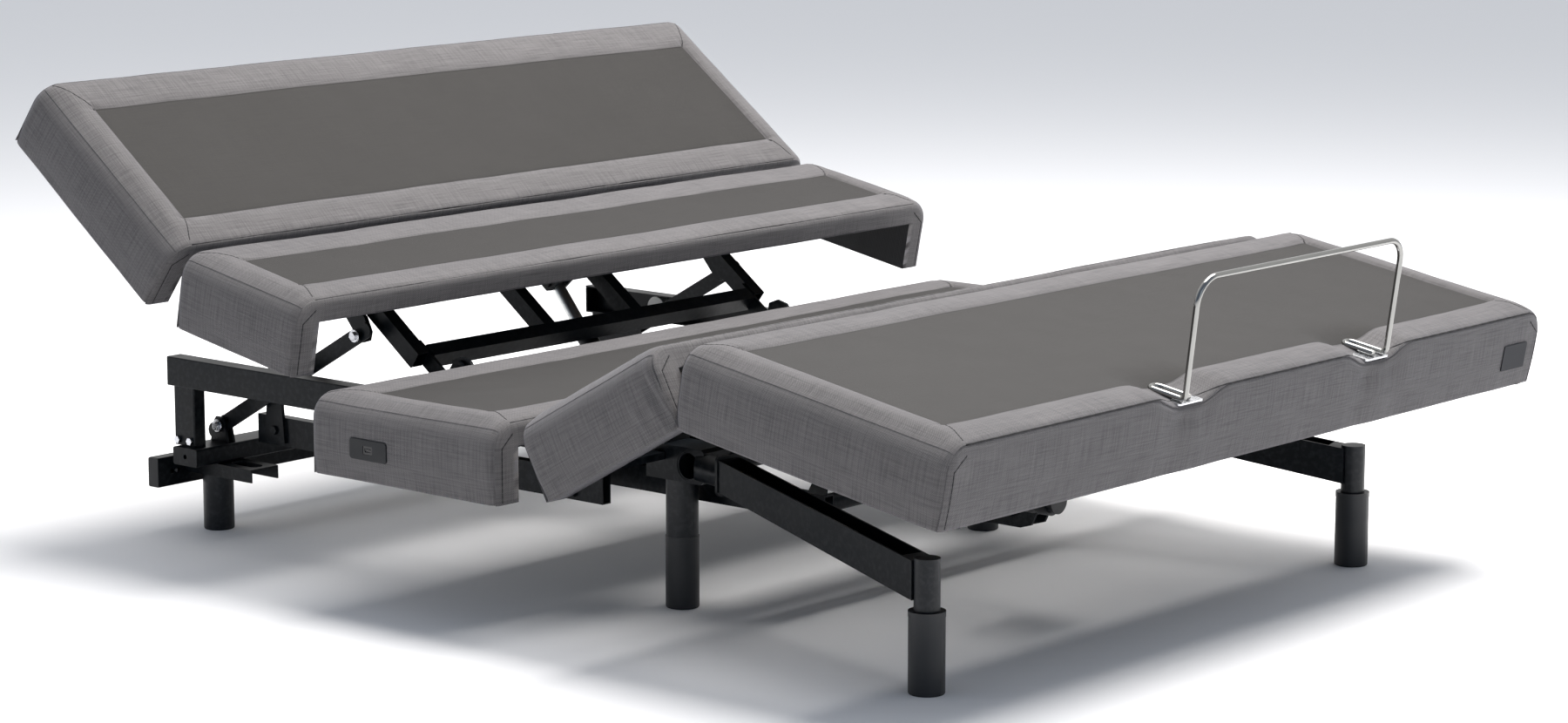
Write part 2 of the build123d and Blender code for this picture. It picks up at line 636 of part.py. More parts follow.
with BuildPart() as back_cushion:
    with BuildSketch(cross(A_HEAD, tAx, tAz, 0.0)):
        with BuildLine():
            Polyline((-HALF, -SKIRT), (-HALF, 0), (HALF, 0), (HALF, -SKIRT), (HALF - SKIRT_T, -SKIRT), (HALF - SKIRT_T, -FOAM),
                     (-HALF + SKIRT_T, -FOAM), (-HALF + SKIRT_T, -SKIRT), (-HALF, -SKIRT))
        make_face()
    extrude(amount=A_LEN)
    # head fascia and turned-down foot edge
    with BuildSketch(cross(A_HEAD, tAx, tAz, 0.0)):
        with Locations((0, -(FOAM + SKIRT) / 2)):
            Rectangle(WIDTH - 2 * SKIRT_T, SKIRT - FOAM)
    extrude(amount=28.0)
    with BuildSketch(cross(A_HEAD, tAx, tAz, A_LEN - 11.0)):
        with Locations((0, -(FOAM + BOARD / 2))):
            Rectangle(WIDTH - 2 * SKIRT_T, BOARD)
    extrude(amount=11.0)
    fillet(back_cushion.part.edges().filter_by(lambda e: e.length > A_LEN - 60 and e.length < A_LEN + 1 and abs(abs(e.center().Y) - HALF) < 0.1
           and abs((e.center().X - A_HEAD[0]) * (-tAz) + (e.center().Z - A_HEAD[1]) * tAx) < 0.5), 38.0)
put(back_cushion.part, "back_cushion")

# ---------------------------------------------------------------- lumbar section
with BuildPart() as lumbar_frame:
    # two short tubes under the board
    for sy in (-1, 1):
        with BuildSketch(cross(B_HEAD, tBx, tBz, 30.0)):
            with Locations((sy * 200.0, -(FR0 + 10.0))):
                Rectangle(25.0, 20.0)
        extrude(amount=181.0)
    for y_start, length in ((330.0, 207.0), (87.0, 174.0), (-123.0, 207.0)):
        with BuildSketch(side(B_HEAD, tBx, tBz, y_start)):
            with Locations((40.0, -(FR0 + 10.0))):
                Rectangle(25.0, 20.0)
        extrude(amount=length)
    # hinge ears reaching the lumbar pivot
    for sy in (-1, 1):
        for y0 in (sy * 320.0,):
            with BuildSketch(XZ(y0 + 3.0)):
                with BuildLine():
                    q = [(B_HEAD[0] + tBx * s - tBz * d, B_HEAD[1] + tBz * s + tBx * d) for s, d in ((50.0, -41.1), (50.0, -61.0), (27.0, -61.0), (-26.0, -43.0), (-30.2, -33.0), (-27.2, -25.4), (-19.0, -23.3), (-5.0, -41.1), (50.0, -41.1))]
                    Polyline(*q)
                make_face()
                with Locations(P_LUMBAR):
                    Circle(5.1, mode=Mode.SUBTRACT)
            extrude(amount=6.0)
    # lever that the lumbar actuator pushes
    for y0 in (16.0, -11.0):
        with BuildSketch(XZ(y0)):
            with BuildLine():
                q = [(B_HEAD[0] + tBx * s - tBz * d, B_HEAD[1] + tBz * s + tBx * d) for s, d in ((27.6, -41.1), (52.4, -41.1), (52.4, -61.0))]
                Polyline(q[0], q[1], q[2], (-625.0, 404.0), (-648.0, 404.0), (-654.0, 422.0), (-640.0, 436.0), (-606.0, 440.0), q[0])
            make_face()
        extrude(amount=5.0)
    with BuildSketch(XZ(16.0)):
        with Locations(LA_ROD):
            Circle(5.0)
    extrude(amount=32.0)
put(lumbar_frame.part, "lumbar_frame")

with BuildPart() as lumbar_hinges:
    # ears on the back frame that carry the lumbar pivot pins
    for sy in (-1, 1):
        with BuildSketch(XZ(sy * 329.0 + 3.0)):
            with BuildLine():
                q = [(A_HEAD[0] + tAx * s - tAz * d, A_HEAD[1] + tAz * s + tAx * d) for s, d in ((352.0, -44.0), (352.0, -62.0), (392.0, -62.0), (414.0, -46.0), (417.0, -30.0), (410.0, -23.0), (399.5, -25.0), (398.6, -41.6), (392.0, -44.0), (352.0, -44.0))]
                Polyline(*q)
            make_face()
        extrude(amount=6.0)
        with BuildSketch(XZ(sy * 326.0)):
            with Locations(P_LUMBAR):
                Circle(5.0)
        extrude(amount=sy * 12.0)
    # cross bar of the back frame the ears are welded to
    for y_start, length in ((394.9, 277.2), (92.4, 184.8), (-117.7, 277.2)):
        with BuildSketch(side(A_HEAD, tAx, tAz, y_start)):
            with Locations((362.0, -(FR0 + 12.0))):
                Rectangle(22.0, 22.0)
                Rectangle(18.0, 18.0, mode=Mode.SUBTRACT)
        extrude(amount=length)
put(lumbar_hinges.part, "back_cross_lumbar")

with BuildPart() as lumbar_deck:
    with BuildSketch(side(B_HEAD, tBx, tBz, 711.0)):
        with Locations((B_LEN / 2, -(FOAM + BOARD / 2))):
            Rectangle(B_LEN - 24.0, BOARD)
    extrude(amount=1422.0)
put(lumbar_deck.part, "lumbar_deck")

with BuildPart() as lumbar_cushion:
    with BuildSketch(cross(B_HEAD, tBx, tBz, 0.0)):
        with BuildLine():
            Polyline((-HALF, -SKIRT), (-HALF, 0), (HALF, 0), (HALF, -SKIRT), (HALF - SKIRT_T, -SKIRT), (HALF - SKIRT_T, -FOAM),
                     (-HALF + SKIRT_T, -FOAM), (-HALF + SKIRT_T, -SKIRT), (-HALF, -SKIRT))
        make_face()
    extrude(amount=B_LEN)
    for s0 in (0.0, B_LEN - 11.0):
        with BuildSketch(cross(B_HEAD, tBx, tBz, s0)):
            with Locations((0, -(FOAM + BOARD / 2))):
                Rectangle(WIDTH - 2 * SKIRT_T, BOARD)
        extrude(amount=11.0)
    fillet(lumbar_cushion.part.edges().filter_by(lambda e: e.length > B_LEN - 1 and e.length < B_LEN + 1 and abs(abs(e.center().Y) - HALF) < 0.1
           and abs((e.center().X - B_HEAD[0]) * (-tBz) + (e.center().Z - B_HEAD[1]) * tBx) < 0.5), 38.0)
put(lumbar_cushion.part, "lumbar_cushion")

# ================================================================ THIGH SECTION
with BuildPart() as thigh_frame:
    for sy in (-1, 1):
        with BuildSketch(cross(D_HEAD, tDx, tDz, -8.0)):
            with Locations((sy * 260.4, -(FR0 + 12.5))):
                Rectangle(25.0, 25.0)
        extrude(amount=298.0)
        with BuildSketch(XZ(sy * 275.8 + 2.9)):
            with Locations(P_THIGH):
                Circle(14.0)
            with BuildLine():
                q = [(D_HEAD[0] + tDx * s - tDz * d, D_HEAD[1] + tDz * s + tDx * d) for s, d in ((-24.0, -22.0), (-4.0, -36.0), (-4.0, -41.3), (6.0, -41.3), (40.0, -44.0), (40.0, -62.0), (-8.0, -62.0), (-28.0, -36.0), (-24.0, -22.0))]
                Polyline(*q)
            make_face()
            with Locations(P_THIGH):
                Circle(6.1, mode=Mode.SUBTRACT)
        extrude(amount=5.8)
        with BuildSketch(XZ(sy * 245.0 + 2.9)):
            with Locations(P_CALF):
                Circle(13.0)
            with BuildLine():
                q = [(D_HEAD[0] + tDx * s - tDz * d, D_HEAD[1] + tDz * s + tDx * d) for s, d in ((240.0, -44.0), (300.0, -46.0), (305.0, -71.0), (240.0, -63.0), (240.0, -44.0))]
                Polyline(*q)
            make_face()
        extrude(amount=5.8)
        with BuildSketch(XZ(sy * 247.9)):
            with Locations(P_CALF):
                Circle(6.0)
        extrude(amount=sy * 16.0)
    for s0 in (60.0, 245.0):
        with BuildSketch(side(D_HEAD, tDx, tDz, 248.0)):
            with Locations((s0, -(FR0 + 12.5))):
                Rectangle(25.0, 25.0)
        extrude(amount=496.0)
    # lever plates for the thigh actuator
    for y0, y1 in ((-50.0, -46.0), (-74.0, -80.0)):
        with BuildSketch(XZ(y1)):
            with Locations(TA_ROD):
                RegularPolygon(8.0, 6)
        extrude(amount=4.0)
        with BuildSketch(XZ(y0)):
            with BuildLine():
                q = [(D_HEAD[0] + tDx * s - tDz * d, D_HEAD[1] + tDz * s + tDx * d) for s, d in ((233.0, -65.9), (257.0, -65.9), (206.0, -98.0), (178.0, -98.0), (172.0, -78.0), (196.0, -72.0), (233.0, -65.9))]
                Polyline(*q)
            make_face()
        extrude(amount=6.0)
put(thigh_frame.part, "thigh_frame")

with BuildPart() as thigh_deck:
    with BuildSketch(side(D_HEAD, tDx, tDz, 711.0)):
        with Locations((D_LEN / 2, -(FOAM + BOARD / 2))):
            Rectangle(D_LEN - 28.0, BOARD)
    extrude(amount=1422.0)
put(thigh_deck.part, "thigh_deck")

with BuildPart() as thigh_cushion:
    # side skirts: mitred at the calf end
    for y0 in (HALF, -HALF + SKIRT_T):
        with BuildSketch(side(D_HEAD, tDx, tDz, y0)):
            with BuildLine():
                Polyline((0, 0), (D_LEN, 0), (D_LEN, -22), (D_LEN - 22.0, -SKIRT), (0, -SKIRT), (0, 0))
            make_face()
        extrude(amount=SKIRT_T)
    with BuildSketch(cross(D_HEAD, tDx, tDz, 0.0)):
        with Locations((0, -FOAM / 2)):
            Rectangle(WIDTH - 2 * SKIRT_T, FOAM)
    extrude(amount=D_LEN)
    for s0 in (0.0, D_LEN - 11.0):
        with BuildSketch(cross(D_HEAD, tDx, tDz, s0)):
            with Locations((0, -(FOAM + BOARD / 2))):
                Rectangle(WIDTH - 2 * SKIRT_T, BOARD)
        extrude(amount=11.0)
    fillet(thigh_cushion.part.edges().filter_by(lambda e: e.length > D_LEN - 1 and e.length < D_LEN + 1 and abs(abs(e.center().Y) - HALF) < 0.1
           and abs((e.center().X - D_HEAD[0]) * (-tDz) + (e.center().Z - D_HEAD[1]) * tDx) < 0.5), 38.0)
put(thigh_cushion.part, "thigh_cushion")

# ================================================================ CALF SECTION
with BuildPart() as calf_frame:
    for sy in (-1, 1):
        with BuildSketch(cross(E_HEAD, tEx, tEz, 2.0)):
            with Locations((sy * 221.5, -(FR0 + 12.5))):
                Rectangle(25.0, 25.0)
        extrude(amount=440.0)
        with BuildSketch(XZ(sy * 236.5 + 2.9)):
            with Locations(P_CALF):
                Circle(13.0)
            with BuildLine():
                q = [(E_HEAD[0] + tEx * s - tEz * d, E_HEAD[1] + tEz * s + tEx * d) for s, d in ((-22.0, -48.0), (50.0, -44.0), (50.0, -64.0), (-22.0, -71.0), (-22.0, -48.0))]
                Polyline(*q)
            make_face()
            with Locations(P_CALF):
                Circle(6.1, mode=Mode.SUBTRACT)
        extrude(amount=5.8)
    for s0 in (141.0, 280.0, 425.0):
        with BuildSketch(side(E_HEAD, tEx, tEz, 340.0 if s0 == 141.0 else 209.1)):
            with Locations((s0, -(FR0 + 12.5))):
                Rectangle(25.0, 25.0)
        extrude(amount=680.0 if s0 == 141.0 else 418.2)
    # ears for the calf links
    for sy in (-1, 1):
        with BuildSketch(XZ(sy * 330.0 + 3.0)):
            with BuildLine():
                q = [(E_HEAD[0] + tEx * s - tEz * d, E_HEAD[1] + tEz * s + tEx * d) for s, d in ((128.0, -65.9), (128.0, -41.2), (154.0, -41.2), (154.0, -66.0), (152.0, -112.0), (144.0, -122.0), (130.0, -122.0), (124.0, -108.0), (128.0, -65.9))]
                Polyline(*q)
            make_face()
        extrude(amount=6.0)
        with BuildSketch(XZ(sy * 327.0)):
            with Locations(FL_CALF):
                Circle(6.0)
        extrude(amount=sy * 18.0)
put(calf_frame.part, "calf_frame")

with BuildPart() as calf_deck:
    with BuildSketch(side(E_HEAD, tEx, tEz, 711.0)):
        with Locations(((E_LEN - 34.0 + 12.0) / 2, -(FOAM + BOARD / 2))):
            Rectangle(E_LEN - 34.0 - 12.0, BOARD)
    extrude(amount=1422.0)
put(calf_deck.part, "calf_deck")

with BuildPart() as calf_cushion:
    with BuildSketch(cross(E_HEAD, tEx, tEz, 0.0)):
        with BuildLine():
            Polyline((-HALF, -SKIRT), (-HALF, 0), (HALF, 0), (HALF, -SKIRT), (HALF - SKIRT_T, -SKIRT), (HALF - SKIRT_T, -FOAM),
                     (-HALF + SKIRT_T, -FOAM), (-HALF + SKIRT_T, -SKIRT), (-HALF, -SKIRT))
        make_face()
    extrude(amount=E_LEN)
    with BuildSketch(cross(E_HEAD, tEx, tEz, E_LEN - 32.0)):
        with Locations((0, -(FOAM + SKIRT) / 2)):
            Rectangle(WIDTH - 2 * SKIRT_T, SKIRT - FOAM)
    extrude(amount=32.0)
    with BuildSketch(cross(E_HEAD, tEx, tEz, 0.0)):
        with Locations((0, -(FOAM + BOARD / 2))):
            Rectangle(WIDTH - 2 * SKIRT_T, BOARD)
    extrude(amount=11.0)
    fillet(calf_cushion.part.edges().filter_by(lambda e: e.length > E_LEN - 60 and e.length < E_LEN + 1 and abs(abs(e.center().Y) - HALF) < 0.1
           and abs((e.center().X - E_HEAD[0]) * (-tEz) + (e.center().Z - E_HEAD[1]) * tEx) < 0.5), 38.0)
    # the padding is pressed in under the feet of the retention bar
    with BuildSketch(cross(E_HEAD, tEx, tEz, E_LEN - 82.0)):
        with Locations((-205.0, 0), (280.0, 0)):
            Rectangle(68.0, 46.0)
    extrude(amount=90.0, mode=Mode.SUBTRACT)
put(calf_cushion.part, "calf_cushion")

# generic blank label sewn on the foot fascia
with BuildPart() as foot_label:
    with BuildSketch(cross(E_HEAD, tEx, tEz, E_LEN + 0.4)):
        with Locations((684.0, -72.0)):
            RectangleRounded(67.0, 41.0, 2.0)
    extrude(amount=1.4)
put(foot_label.part, "foot_label")

# mattress retention bar: bent round rod standing on the foot border, and the two plates that clamp it
RB_S = E_LEN - 2.8        # plane of the uprights
RB_R = 4.5
RB_H = -15.0              # height of the feet, pressed into the padding
RB_TOP = 166.0
with BuildPart() as retention_bar:
    def rb(y, h, s=RB_S):
        return (E_HEAD[0] + tEx * s - tEz * h, y, E_HEAD[1] + tEz * s + tEx * h)
    pts = [rb(-202, RB_H, RB_S - 8), rb(-202, RB_H, RB_S - 66), rb(-224, RB_H, RB_S - 66), rb(-224, RB_H, RB_S), rb(-237, RB_TOP), rb(290, RB_TOP),
           rb(299, RB_H, RB_S), rb(299, RB_H, RB_S - 66), rb(277, RB_H, RB_S - 66), rb(277, RB_H, RB_S - 8)]
    with BuildLine() as rb_path:
        FilletPolyline(*pts, radius=[10.5, 10.5, 9.0, 38.0, 38.0, 9.0, 10.5, 10.5])
    with BuildSketch(Plane(origin=pts[0], z_dir=(-tEx, 0, -tEz))):
        Circle(RB_R)
    sweep(path=rb_path.wires()[0], transition=Transition.ROUND)
put(retention_bar.part, "retention_bar")

with BuildPart() as retention_plates:
    for yc in (-205.0, 280.0):
        with BuildSketch(Plane(origin=rb(yc, RB_H - RB_R - 3.2, RB_S - 20.0), x_dir=(0, 1, 0), z_dir=(-tEz, 0, tEx))):
            RectangleRounded(60.0, 38.0, 4.0)
        extrude(amount=2.8)
put(retention_plates.part, "retention_plates")

# ================================================================ LINKS
for side_name, sy in (("near", -1), ("far", 1)):
    # stay link, base end slotted, lies between the clevis plates
    tx, tz, ll = deg2(S_BASE, S_BACK)
    with BuildPart() as stay_link:
        with BuildSketch(Plane(origin=(S_BASE[0], sy * 446.0 + 2.5, S_BASE[1]), x_dir=(tx, 0, tz), z_dir=(0, -1, 0))):
            with Locations((ll / 2 - 2.0, 0)):
                SlotOverall(ll + 68.0, 26.0)
            with Locations((0.0, 0)):
                SlotOverall(48.0, 11.6, mode=Mode.SUBTRACT)
            with Locations((ll, 0)):
                Circle(5.1, mode=Mode.SUBTRACT)
        extrude(amount=5.0)
    put(stay_link.part, "stay_link_" + side_name)

    # calf link between carriage and calf frame
    fx, fz, fl = deg2(FL_CAR, FL_CALF)
    with BuildPart() as calf_link:
        with BuildSketch(Plane(origin=(FL_CAR[0], sy * 339.5 + 3.0, FL_CAR[1]), x_dir=(fx, 0, fz), z_dir=(0, -1, 0))):
            with Locations((fl / 2, 0)):
                SlotOverall(fl + 24.0, 24.0)
            with Locations((0, 0)):
                Circle(6.1, mode=Mode.SUBTRACT)
            with Locations((fl, 0)):
                Circle(8.4, mode=Mode.SUBTRACT)
        extrude(amount=6.0)
    halves.setdefault("calf_links", []).append(calf_link.part)

# ears on the lower beams that carry the calf links
with BuildPart() as link_ears:
    for sy in (-1, 1):
        with BuildSketch(XZ(sy * 331.5 + 3.0)):
            with BuildLine():
                Polyline((350, 200.1), (384, 200.1), (388, 222), (382, 233), (368, 233), (362, 222), (350, 200.1))
            make_face()
        extrude(amount=6.0)
        with BuildSketch(XZ(sy * 331.5)):
            with Locations(FL_CAR):
                Circle(6.0)
        extrude(amount=-sy * 15.0)
halves.setdefault("leg_beams", []).append(link_ears.part)

# ================================================================ ACTUATORS
# body = rear eye, gearbox, motor and outer tube; rod = inner tube with the front eye
ACT = (
    ("back", BA_BODY, BA_ROD, 40.0, 17.0, 197.0, 11.0, 6.0, 6.6),
    ("lumbar", LA_BODY, LA_ROD, 0.0, 15.0, 225.0, 9.0, 5.0, 7.4),
    ("thigh", TA_BODY, TA_ROD, -65.0, 16.0, 178.0, 9.0, 5.0, 7.0),
)
for an, p, q, ya, tube_r, tube_end, rod_r, pin_r, eye_r in ACT:
    ax, az, al = deg2(p, q)
    along = Plane(origin=(p[0], ya, p[1]), x_dir=(0, 1, 0), z_dir=(ax, 0, az))
    with BuildPart() as act_body:
        # rear eye
        with BuildSketch(Plane(origin=(p[0], ya + 10.0, p[1]), x_dir=(ax, 0, az), z_dir=(0, -1, 0))):
            Circle(13.0)
            with Locations((20.0, 0)):
                Rectangle(40.0, 20.0)
            Circle(pin_r + 0.1, mode=Mode.SUBTRACT)
        extrude(amount=20.0)
        # gearbox
        with BuildSketch(along.offset(26.0)):
            RectangleRounded(40.0, 44.0, 8.0)
        extrude(amount=54.0)
        # outer tube
        with BuildSketch(along.offset(78.0)):
            Circle(tube_r)
            Circle(rod_r + 0.6, mode=Mode.SUBTRACT)
        extrude(amount=tube_end - 78.0)
        if an == "back":
            # motor beside the gearbox, parallel with the tube
            with BuildSketch(Plane(origin=(p[0] - az * 0.0, ya + 44.0, p[1]), x_dir=(0, 1, 0), z_dir=(ax, 0, az)).offset(34.0)):
                Circle(22.0)
            extrude(amount=92.0)
            with BuildSketch(Plane(origin=(p[0], ya + 24.0, p[1]), x_dir=(0, 1, 0), z_dir=(ax, 0, az)).offset(40.0)):
                Rectangle(30.0, 26.0)
            extrude(amount=24.0)
        elif an == "thigh":
            # ribbed motor beside the gearbox
            mp = Plane.YZ.offset(p[0] - 58.0)
            with BuildSketch(mp):
                with Locations((ya - 46.0, p[1] + 26.0)):
                    Circle(20.0)
            extrude(amount=136.0)
            for k in range(3):
                with BuildSketch(mp.offset(40.0 + 32.0 * k)):
                    with Locations((ya - 46.0, p[1] + 26.0)):
                        Circle(24.0)
                extrude(amount=20.0)
            with BuildSketch(mp.offset(4.0)):
                with Locations((ya - 24.0, p[1] + 32.0)):
                    Rectangle(30.0, 26.0)
            extrude(amount=26.0)
        else:
            with BuildSketch(Plane(origin=(p[0], ya + 40.0, p[1]), x_dir=(0, 1, 0), z_dir=(ax, 0, az)).offset(30.0)):
                Circle(18.0)
            extrude(amount=80.0)
            with BuildSketch(Plane(origin=(p[0], ya + 22.0, p[1]), x_dir=(0, 1, 0), z_dir=(ax, 0, az)).offset(36.0)):
                Rectangle(30.0, 24.0)
            extrude(amount=24.0)
        # bore for the rod, through the gearbox
        with BuildSketch(along.offset(42.0)):
            Circle(rod_r + 0.6)
        extrude(amount=tube_end - 41.0, mode=Mode.SUBTRACT)
    put(act_body.part, an + "_actuator_body")
    with BuildPart() as act_rod:
        with BuildSketch(along.offset(124.0)):
            Circle(rod_r)
        extrude(amount=al - 124.0 - 14.0)
        with BuildSketch(Plane(origin=(q[0], ya + 6.0, q[1]), x_dir=(-ax, 0, -az), z_dir=(0, -1, 0))):
            Circle(eye_r + 6.0)
            with Locations((15.0, 0)):
                Rectangle(24.0, 18.0)
            Circle(eye_r, mode=Mode.SUBTRACT)
        extrude(amount=12.0)
    put(act_rod.part, an + "_actuator_rod")

# ================================================================ near and far copies that share a node
for name, members in halves.items():
    with BuildPart() as grouped:
        for m in members:
            add(m)
    put(grouped.part, name)
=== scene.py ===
import bpy, bmesh, math, random
import numpy as np
from mathutils import Vector, Matrix, noise


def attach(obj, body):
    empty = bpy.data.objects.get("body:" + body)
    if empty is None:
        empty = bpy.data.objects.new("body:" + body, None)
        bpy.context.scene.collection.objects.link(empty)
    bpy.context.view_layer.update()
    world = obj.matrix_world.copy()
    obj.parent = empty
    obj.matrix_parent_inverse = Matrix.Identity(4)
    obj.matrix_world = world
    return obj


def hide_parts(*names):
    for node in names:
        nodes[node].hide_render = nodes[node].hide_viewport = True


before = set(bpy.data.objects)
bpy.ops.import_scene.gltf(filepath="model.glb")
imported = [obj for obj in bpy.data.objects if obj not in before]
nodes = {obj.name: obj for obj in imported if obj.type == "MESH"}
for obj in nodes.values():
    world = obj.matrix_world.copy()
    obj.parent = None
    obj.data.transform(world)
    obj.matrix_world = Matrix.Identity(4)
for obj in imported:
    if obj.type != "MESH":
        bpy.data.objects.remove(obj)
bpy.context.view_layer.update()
scene = bpy.context.scene
random.seed(7)

# ------------------------------------------------------------------ camera
YAW, PITCH = 0.8601, 0.1723
view_dir = Vector((-math.cos(YAW) * math.cos(PITCH), math.sin(YAW) * math.cos(PITCH), -math.sin(PITCH)))
cam_data = bpy.data.cameras.new("camera")
cam = bpy.data.objects.new("camera", cam_data)
scene.collection.objects.link(cam)
cam.location = (4.2246, -4.8952, 1.4422)
cam.rotation_mode = "QUATERNION"
cam.rotation_quaternion = view_dir.to_track_quat("-Z", "Y")
cam_data.sensor_width = 36.0
cam_data.lens = 93.78
cam_data.clip_start = 0.1
cam_data.clip_end = 60.0
scene.camera = cam

# ------------------------------------------------------------------ node helpers
def new_mat(name):
    m = bpy.data.materials.new(name)
    m.use_nodes = True
    nt = m.node_tree
    for n in list(nt.nodes):
        if n.type not in ("BSDF_PRINCIPLED", "OUTPUT_MATERIAL"):
            nt.nodes.remove(n)
    bsdf = next(n for n in nt.nodes if n.type == "BSDF_PRINCIPLED")
    return m, nt, bsdf

def N(nt, kind, **props):
    n = nt.nodes.new(kind)
    for k, v in props.items():
        setattr(n, k, v)
    return n

def L(nt, a, b):
    nt.links.new(a, b)

def value_in(node, name, v):
    node.inputs[name].default_value = v

def coords(nt, attr=None):
    if attr:
        n = N(nt, "ShaderNodeAttribute")
        n.attribute_name = attr
        return n.outputs["Vector"]
    return N(nt, "ShaderNodeTexCoord").outputs["Object"]

def noise_tex(nt, vec, scale, detail=3.0, rough=0.55):
    n = N(nt, "ShaderNodeTexNoise")
    L(nt, vec, n.inputs["Vector"])
    value_in(n, "Scale", scale)
    value_in(n, "Detail", detail)
    value_in(n, "Roughness", rough)
    return n

def ramp(nt, fac, stops):
    r = N(nt, "ShaderNodeValToRGB")
    L(nt, fac, r.inputs["Fac"])
    els = r.color_ramp.elements
    els[0].position, els[0].color = stops[0][0], (*stops[0][1], 1)
    els[1].position, els[1].color = stops[-1][0], (*stops[-1][1], 1)
    for p, c in stops[1:-1]:
        e = els.new(p)
        e.color = (*c, 1)
    return r

def math_node(nt, op, a, b=None, clamp=False):
    n = N(nt, "ShaderNodeMath", operation=op, use_clamp=clamp)
    for i, x in enumerate((a, b)):
        if x is None:
            continue
        if isinstance(x, (int, float)):
            n.inputs[i].default_value = x
        else:
            L(nt, x, n.inputs[i])
    return n.outputs[0]

def mix_color(nt, fac, a, b, blend="MIX"):
    n = N(nt, "ShaderNodeMix", data_type="RGBA", blend_type=blend)
    for sock, x in ((n.inputs[0], fac), (n.inputs[6], a), (n.inputs[7], b)):
        if isinstance(x, (int, float)):
            sock.default_value = x
        elif isinstance(x, tuple):
            sock.default_value = (*x, 1) if len(x) == 3 else x
        else:
            L(nt, x, sock)
    return n.outputs[2]

def bump(nt, height, strength, distance, normal=None):
    n = N(nt, "ShaderNodeBump")
    value_in(n, "Strength", strength)
    value_in(n, "Distance", distance)
    L(nt, height, n.inputs["Height"])
    if normal is not None:
        L(nt, normal, n.inputs["Normal"])
    return n.outputs["Normal"]

# ------------------------------------------------------------------ materials
def fabric(name, warp, weft, pitch, depth, rough, sheen, mottle=0.16, slub=0.5):
    """woven cloth: threads run along the two directions of the piece's flat pattern, stored as its 'cloth' attribute (metres)"""
    m, nt, b = new_mat(name)
    vec = coords(nt, "cloth")
    sep = N(nt, "ShaderNodeSeparateXYZ")
    L(nt, vec, sep.inputs[0])
    wob = noise_tex(nt, vec, 90.0, 2.0)
    w = math_node(nt, "MULTIPLY", wob.outputs["Fac"], 0.9)
    k = 2 * math.pi / pitch
    u = math_node(nt, "ADD", math_node(nt, "MULTIPLY", sep.outputs[0], k), w)
    v = math_node(nt, "ADD", math_node(nt, "MULTIPLY", sep.outputs[1], k), w)
    su, sv = math_node(nt, "SINE", u), math_node(nt, "SINE", v)
    prod = math_node(nt, "MULTIPLY", su, sv)                    # over-under checker
    weave = math_node(nt, "MULTIPLY_ADD", prod, 0.5)
    nt.nodes[-1].inputs[2].default_value = 0.5
    # slubs: long thin streaks along each thread direction
    s1 = N(nt, "ShaderNodeMapping"); s1.inputs["Scale"].default_value = (14, 420, 1); L(nt, vec, s1.inputs[0])
    s2 = N(nt, "ShaderNodeMapping"); s2.inputs["Scale"].default_value = (420, 14, 1); L(nt, vec, s2.inputs[0])
    n1 = noise_tex(nt, s1.outputs[0], 1.0, 2.0)
    n2 = noise_tex(nt, s2.outputs[0], 1.0, 2.0)
    streak = math_node(nt, "MULTIPLY", n1.outputs["Fac"], n2.outputs["Fac"])
    thread = mix_color(nt, weave, warp, weft)
    tone = ramp(nt, streak, [(0.12, (1 - slub * 0.5,) * 3), (0.25, (1.0,) * 3), (0.42, (1 + slub * 0.35,) * 3)])
    col = mix_color(nt, 1.0, thread, tone.outputs["Color"], "MULTIPLY")
    big = noise_tex(nt, vec, 5.0, 3.0)
    tone2 = ramp(nt, big.outputs["Fac"], [(0.3, (1 - mottle,) * 3), (0.7, (1 + mottle * 0.6,) * 3)])
    col = mix_color(nt, 1.0, col, tone2.outputs["Color"], "MULTIPLY")
    # slight shading towards seams, paler along the long roundings
    paler_edge = N(nt, "ShaderNodeAttribute"); paler_edge.attribute_name = "paler_edge"
    col = mix_color(nt, math_node(nt, "MULTIPLY", paler_edge.outputs["Fac"], 0.20, True), col, tuple(min(1, c * 1.45) for c in weft))
    # painted shade: the cloth is darkened along the sewn seam lines, standing in for the shade in their grooves
    seam = N(nt, "ShaderNodeAttribute"); seam.attribute_name = "seam_painted_shade"
    col = mix_color(nt, seam.outputs["Fac"], col, tuple(c * 0.16 for c in warp))
    L(nt, col, b.inputs["Base Color"])
    r = ramp(nt, weave, [(0.0, (rough - 0.08,) * 3), (1.0, (min(1, rough + 0.06),) * 3)])
    L(nt, r.outputs["Color"], b.inputs["Roughness"])
    value_in(b, "Sheen Weight", sheen)
    value_in(b, "Sheen Roughness", 0.45)
    value_in(b, "Sheen Tint", (0.85, 0.88, 1.0, 1))
    value_in(b, "Specular IOR Level", 0.25)
    h = math_node(nt, "ADD", math_node(nt, "MULTIPLY", weave, 0.7), math_node(nt, "MULTIPLY", streak, 1.2))
    nrm = bump(nt, h, 0.55, depth)
    soft = noise_tex(nt, vec, 9.0, 2.0)
    nrm = bump(nt, soft.outputs["Fac"], 0.12, 0.004, nrm)
    L(nt, nrm, b.inputs["Normal"])
    return m

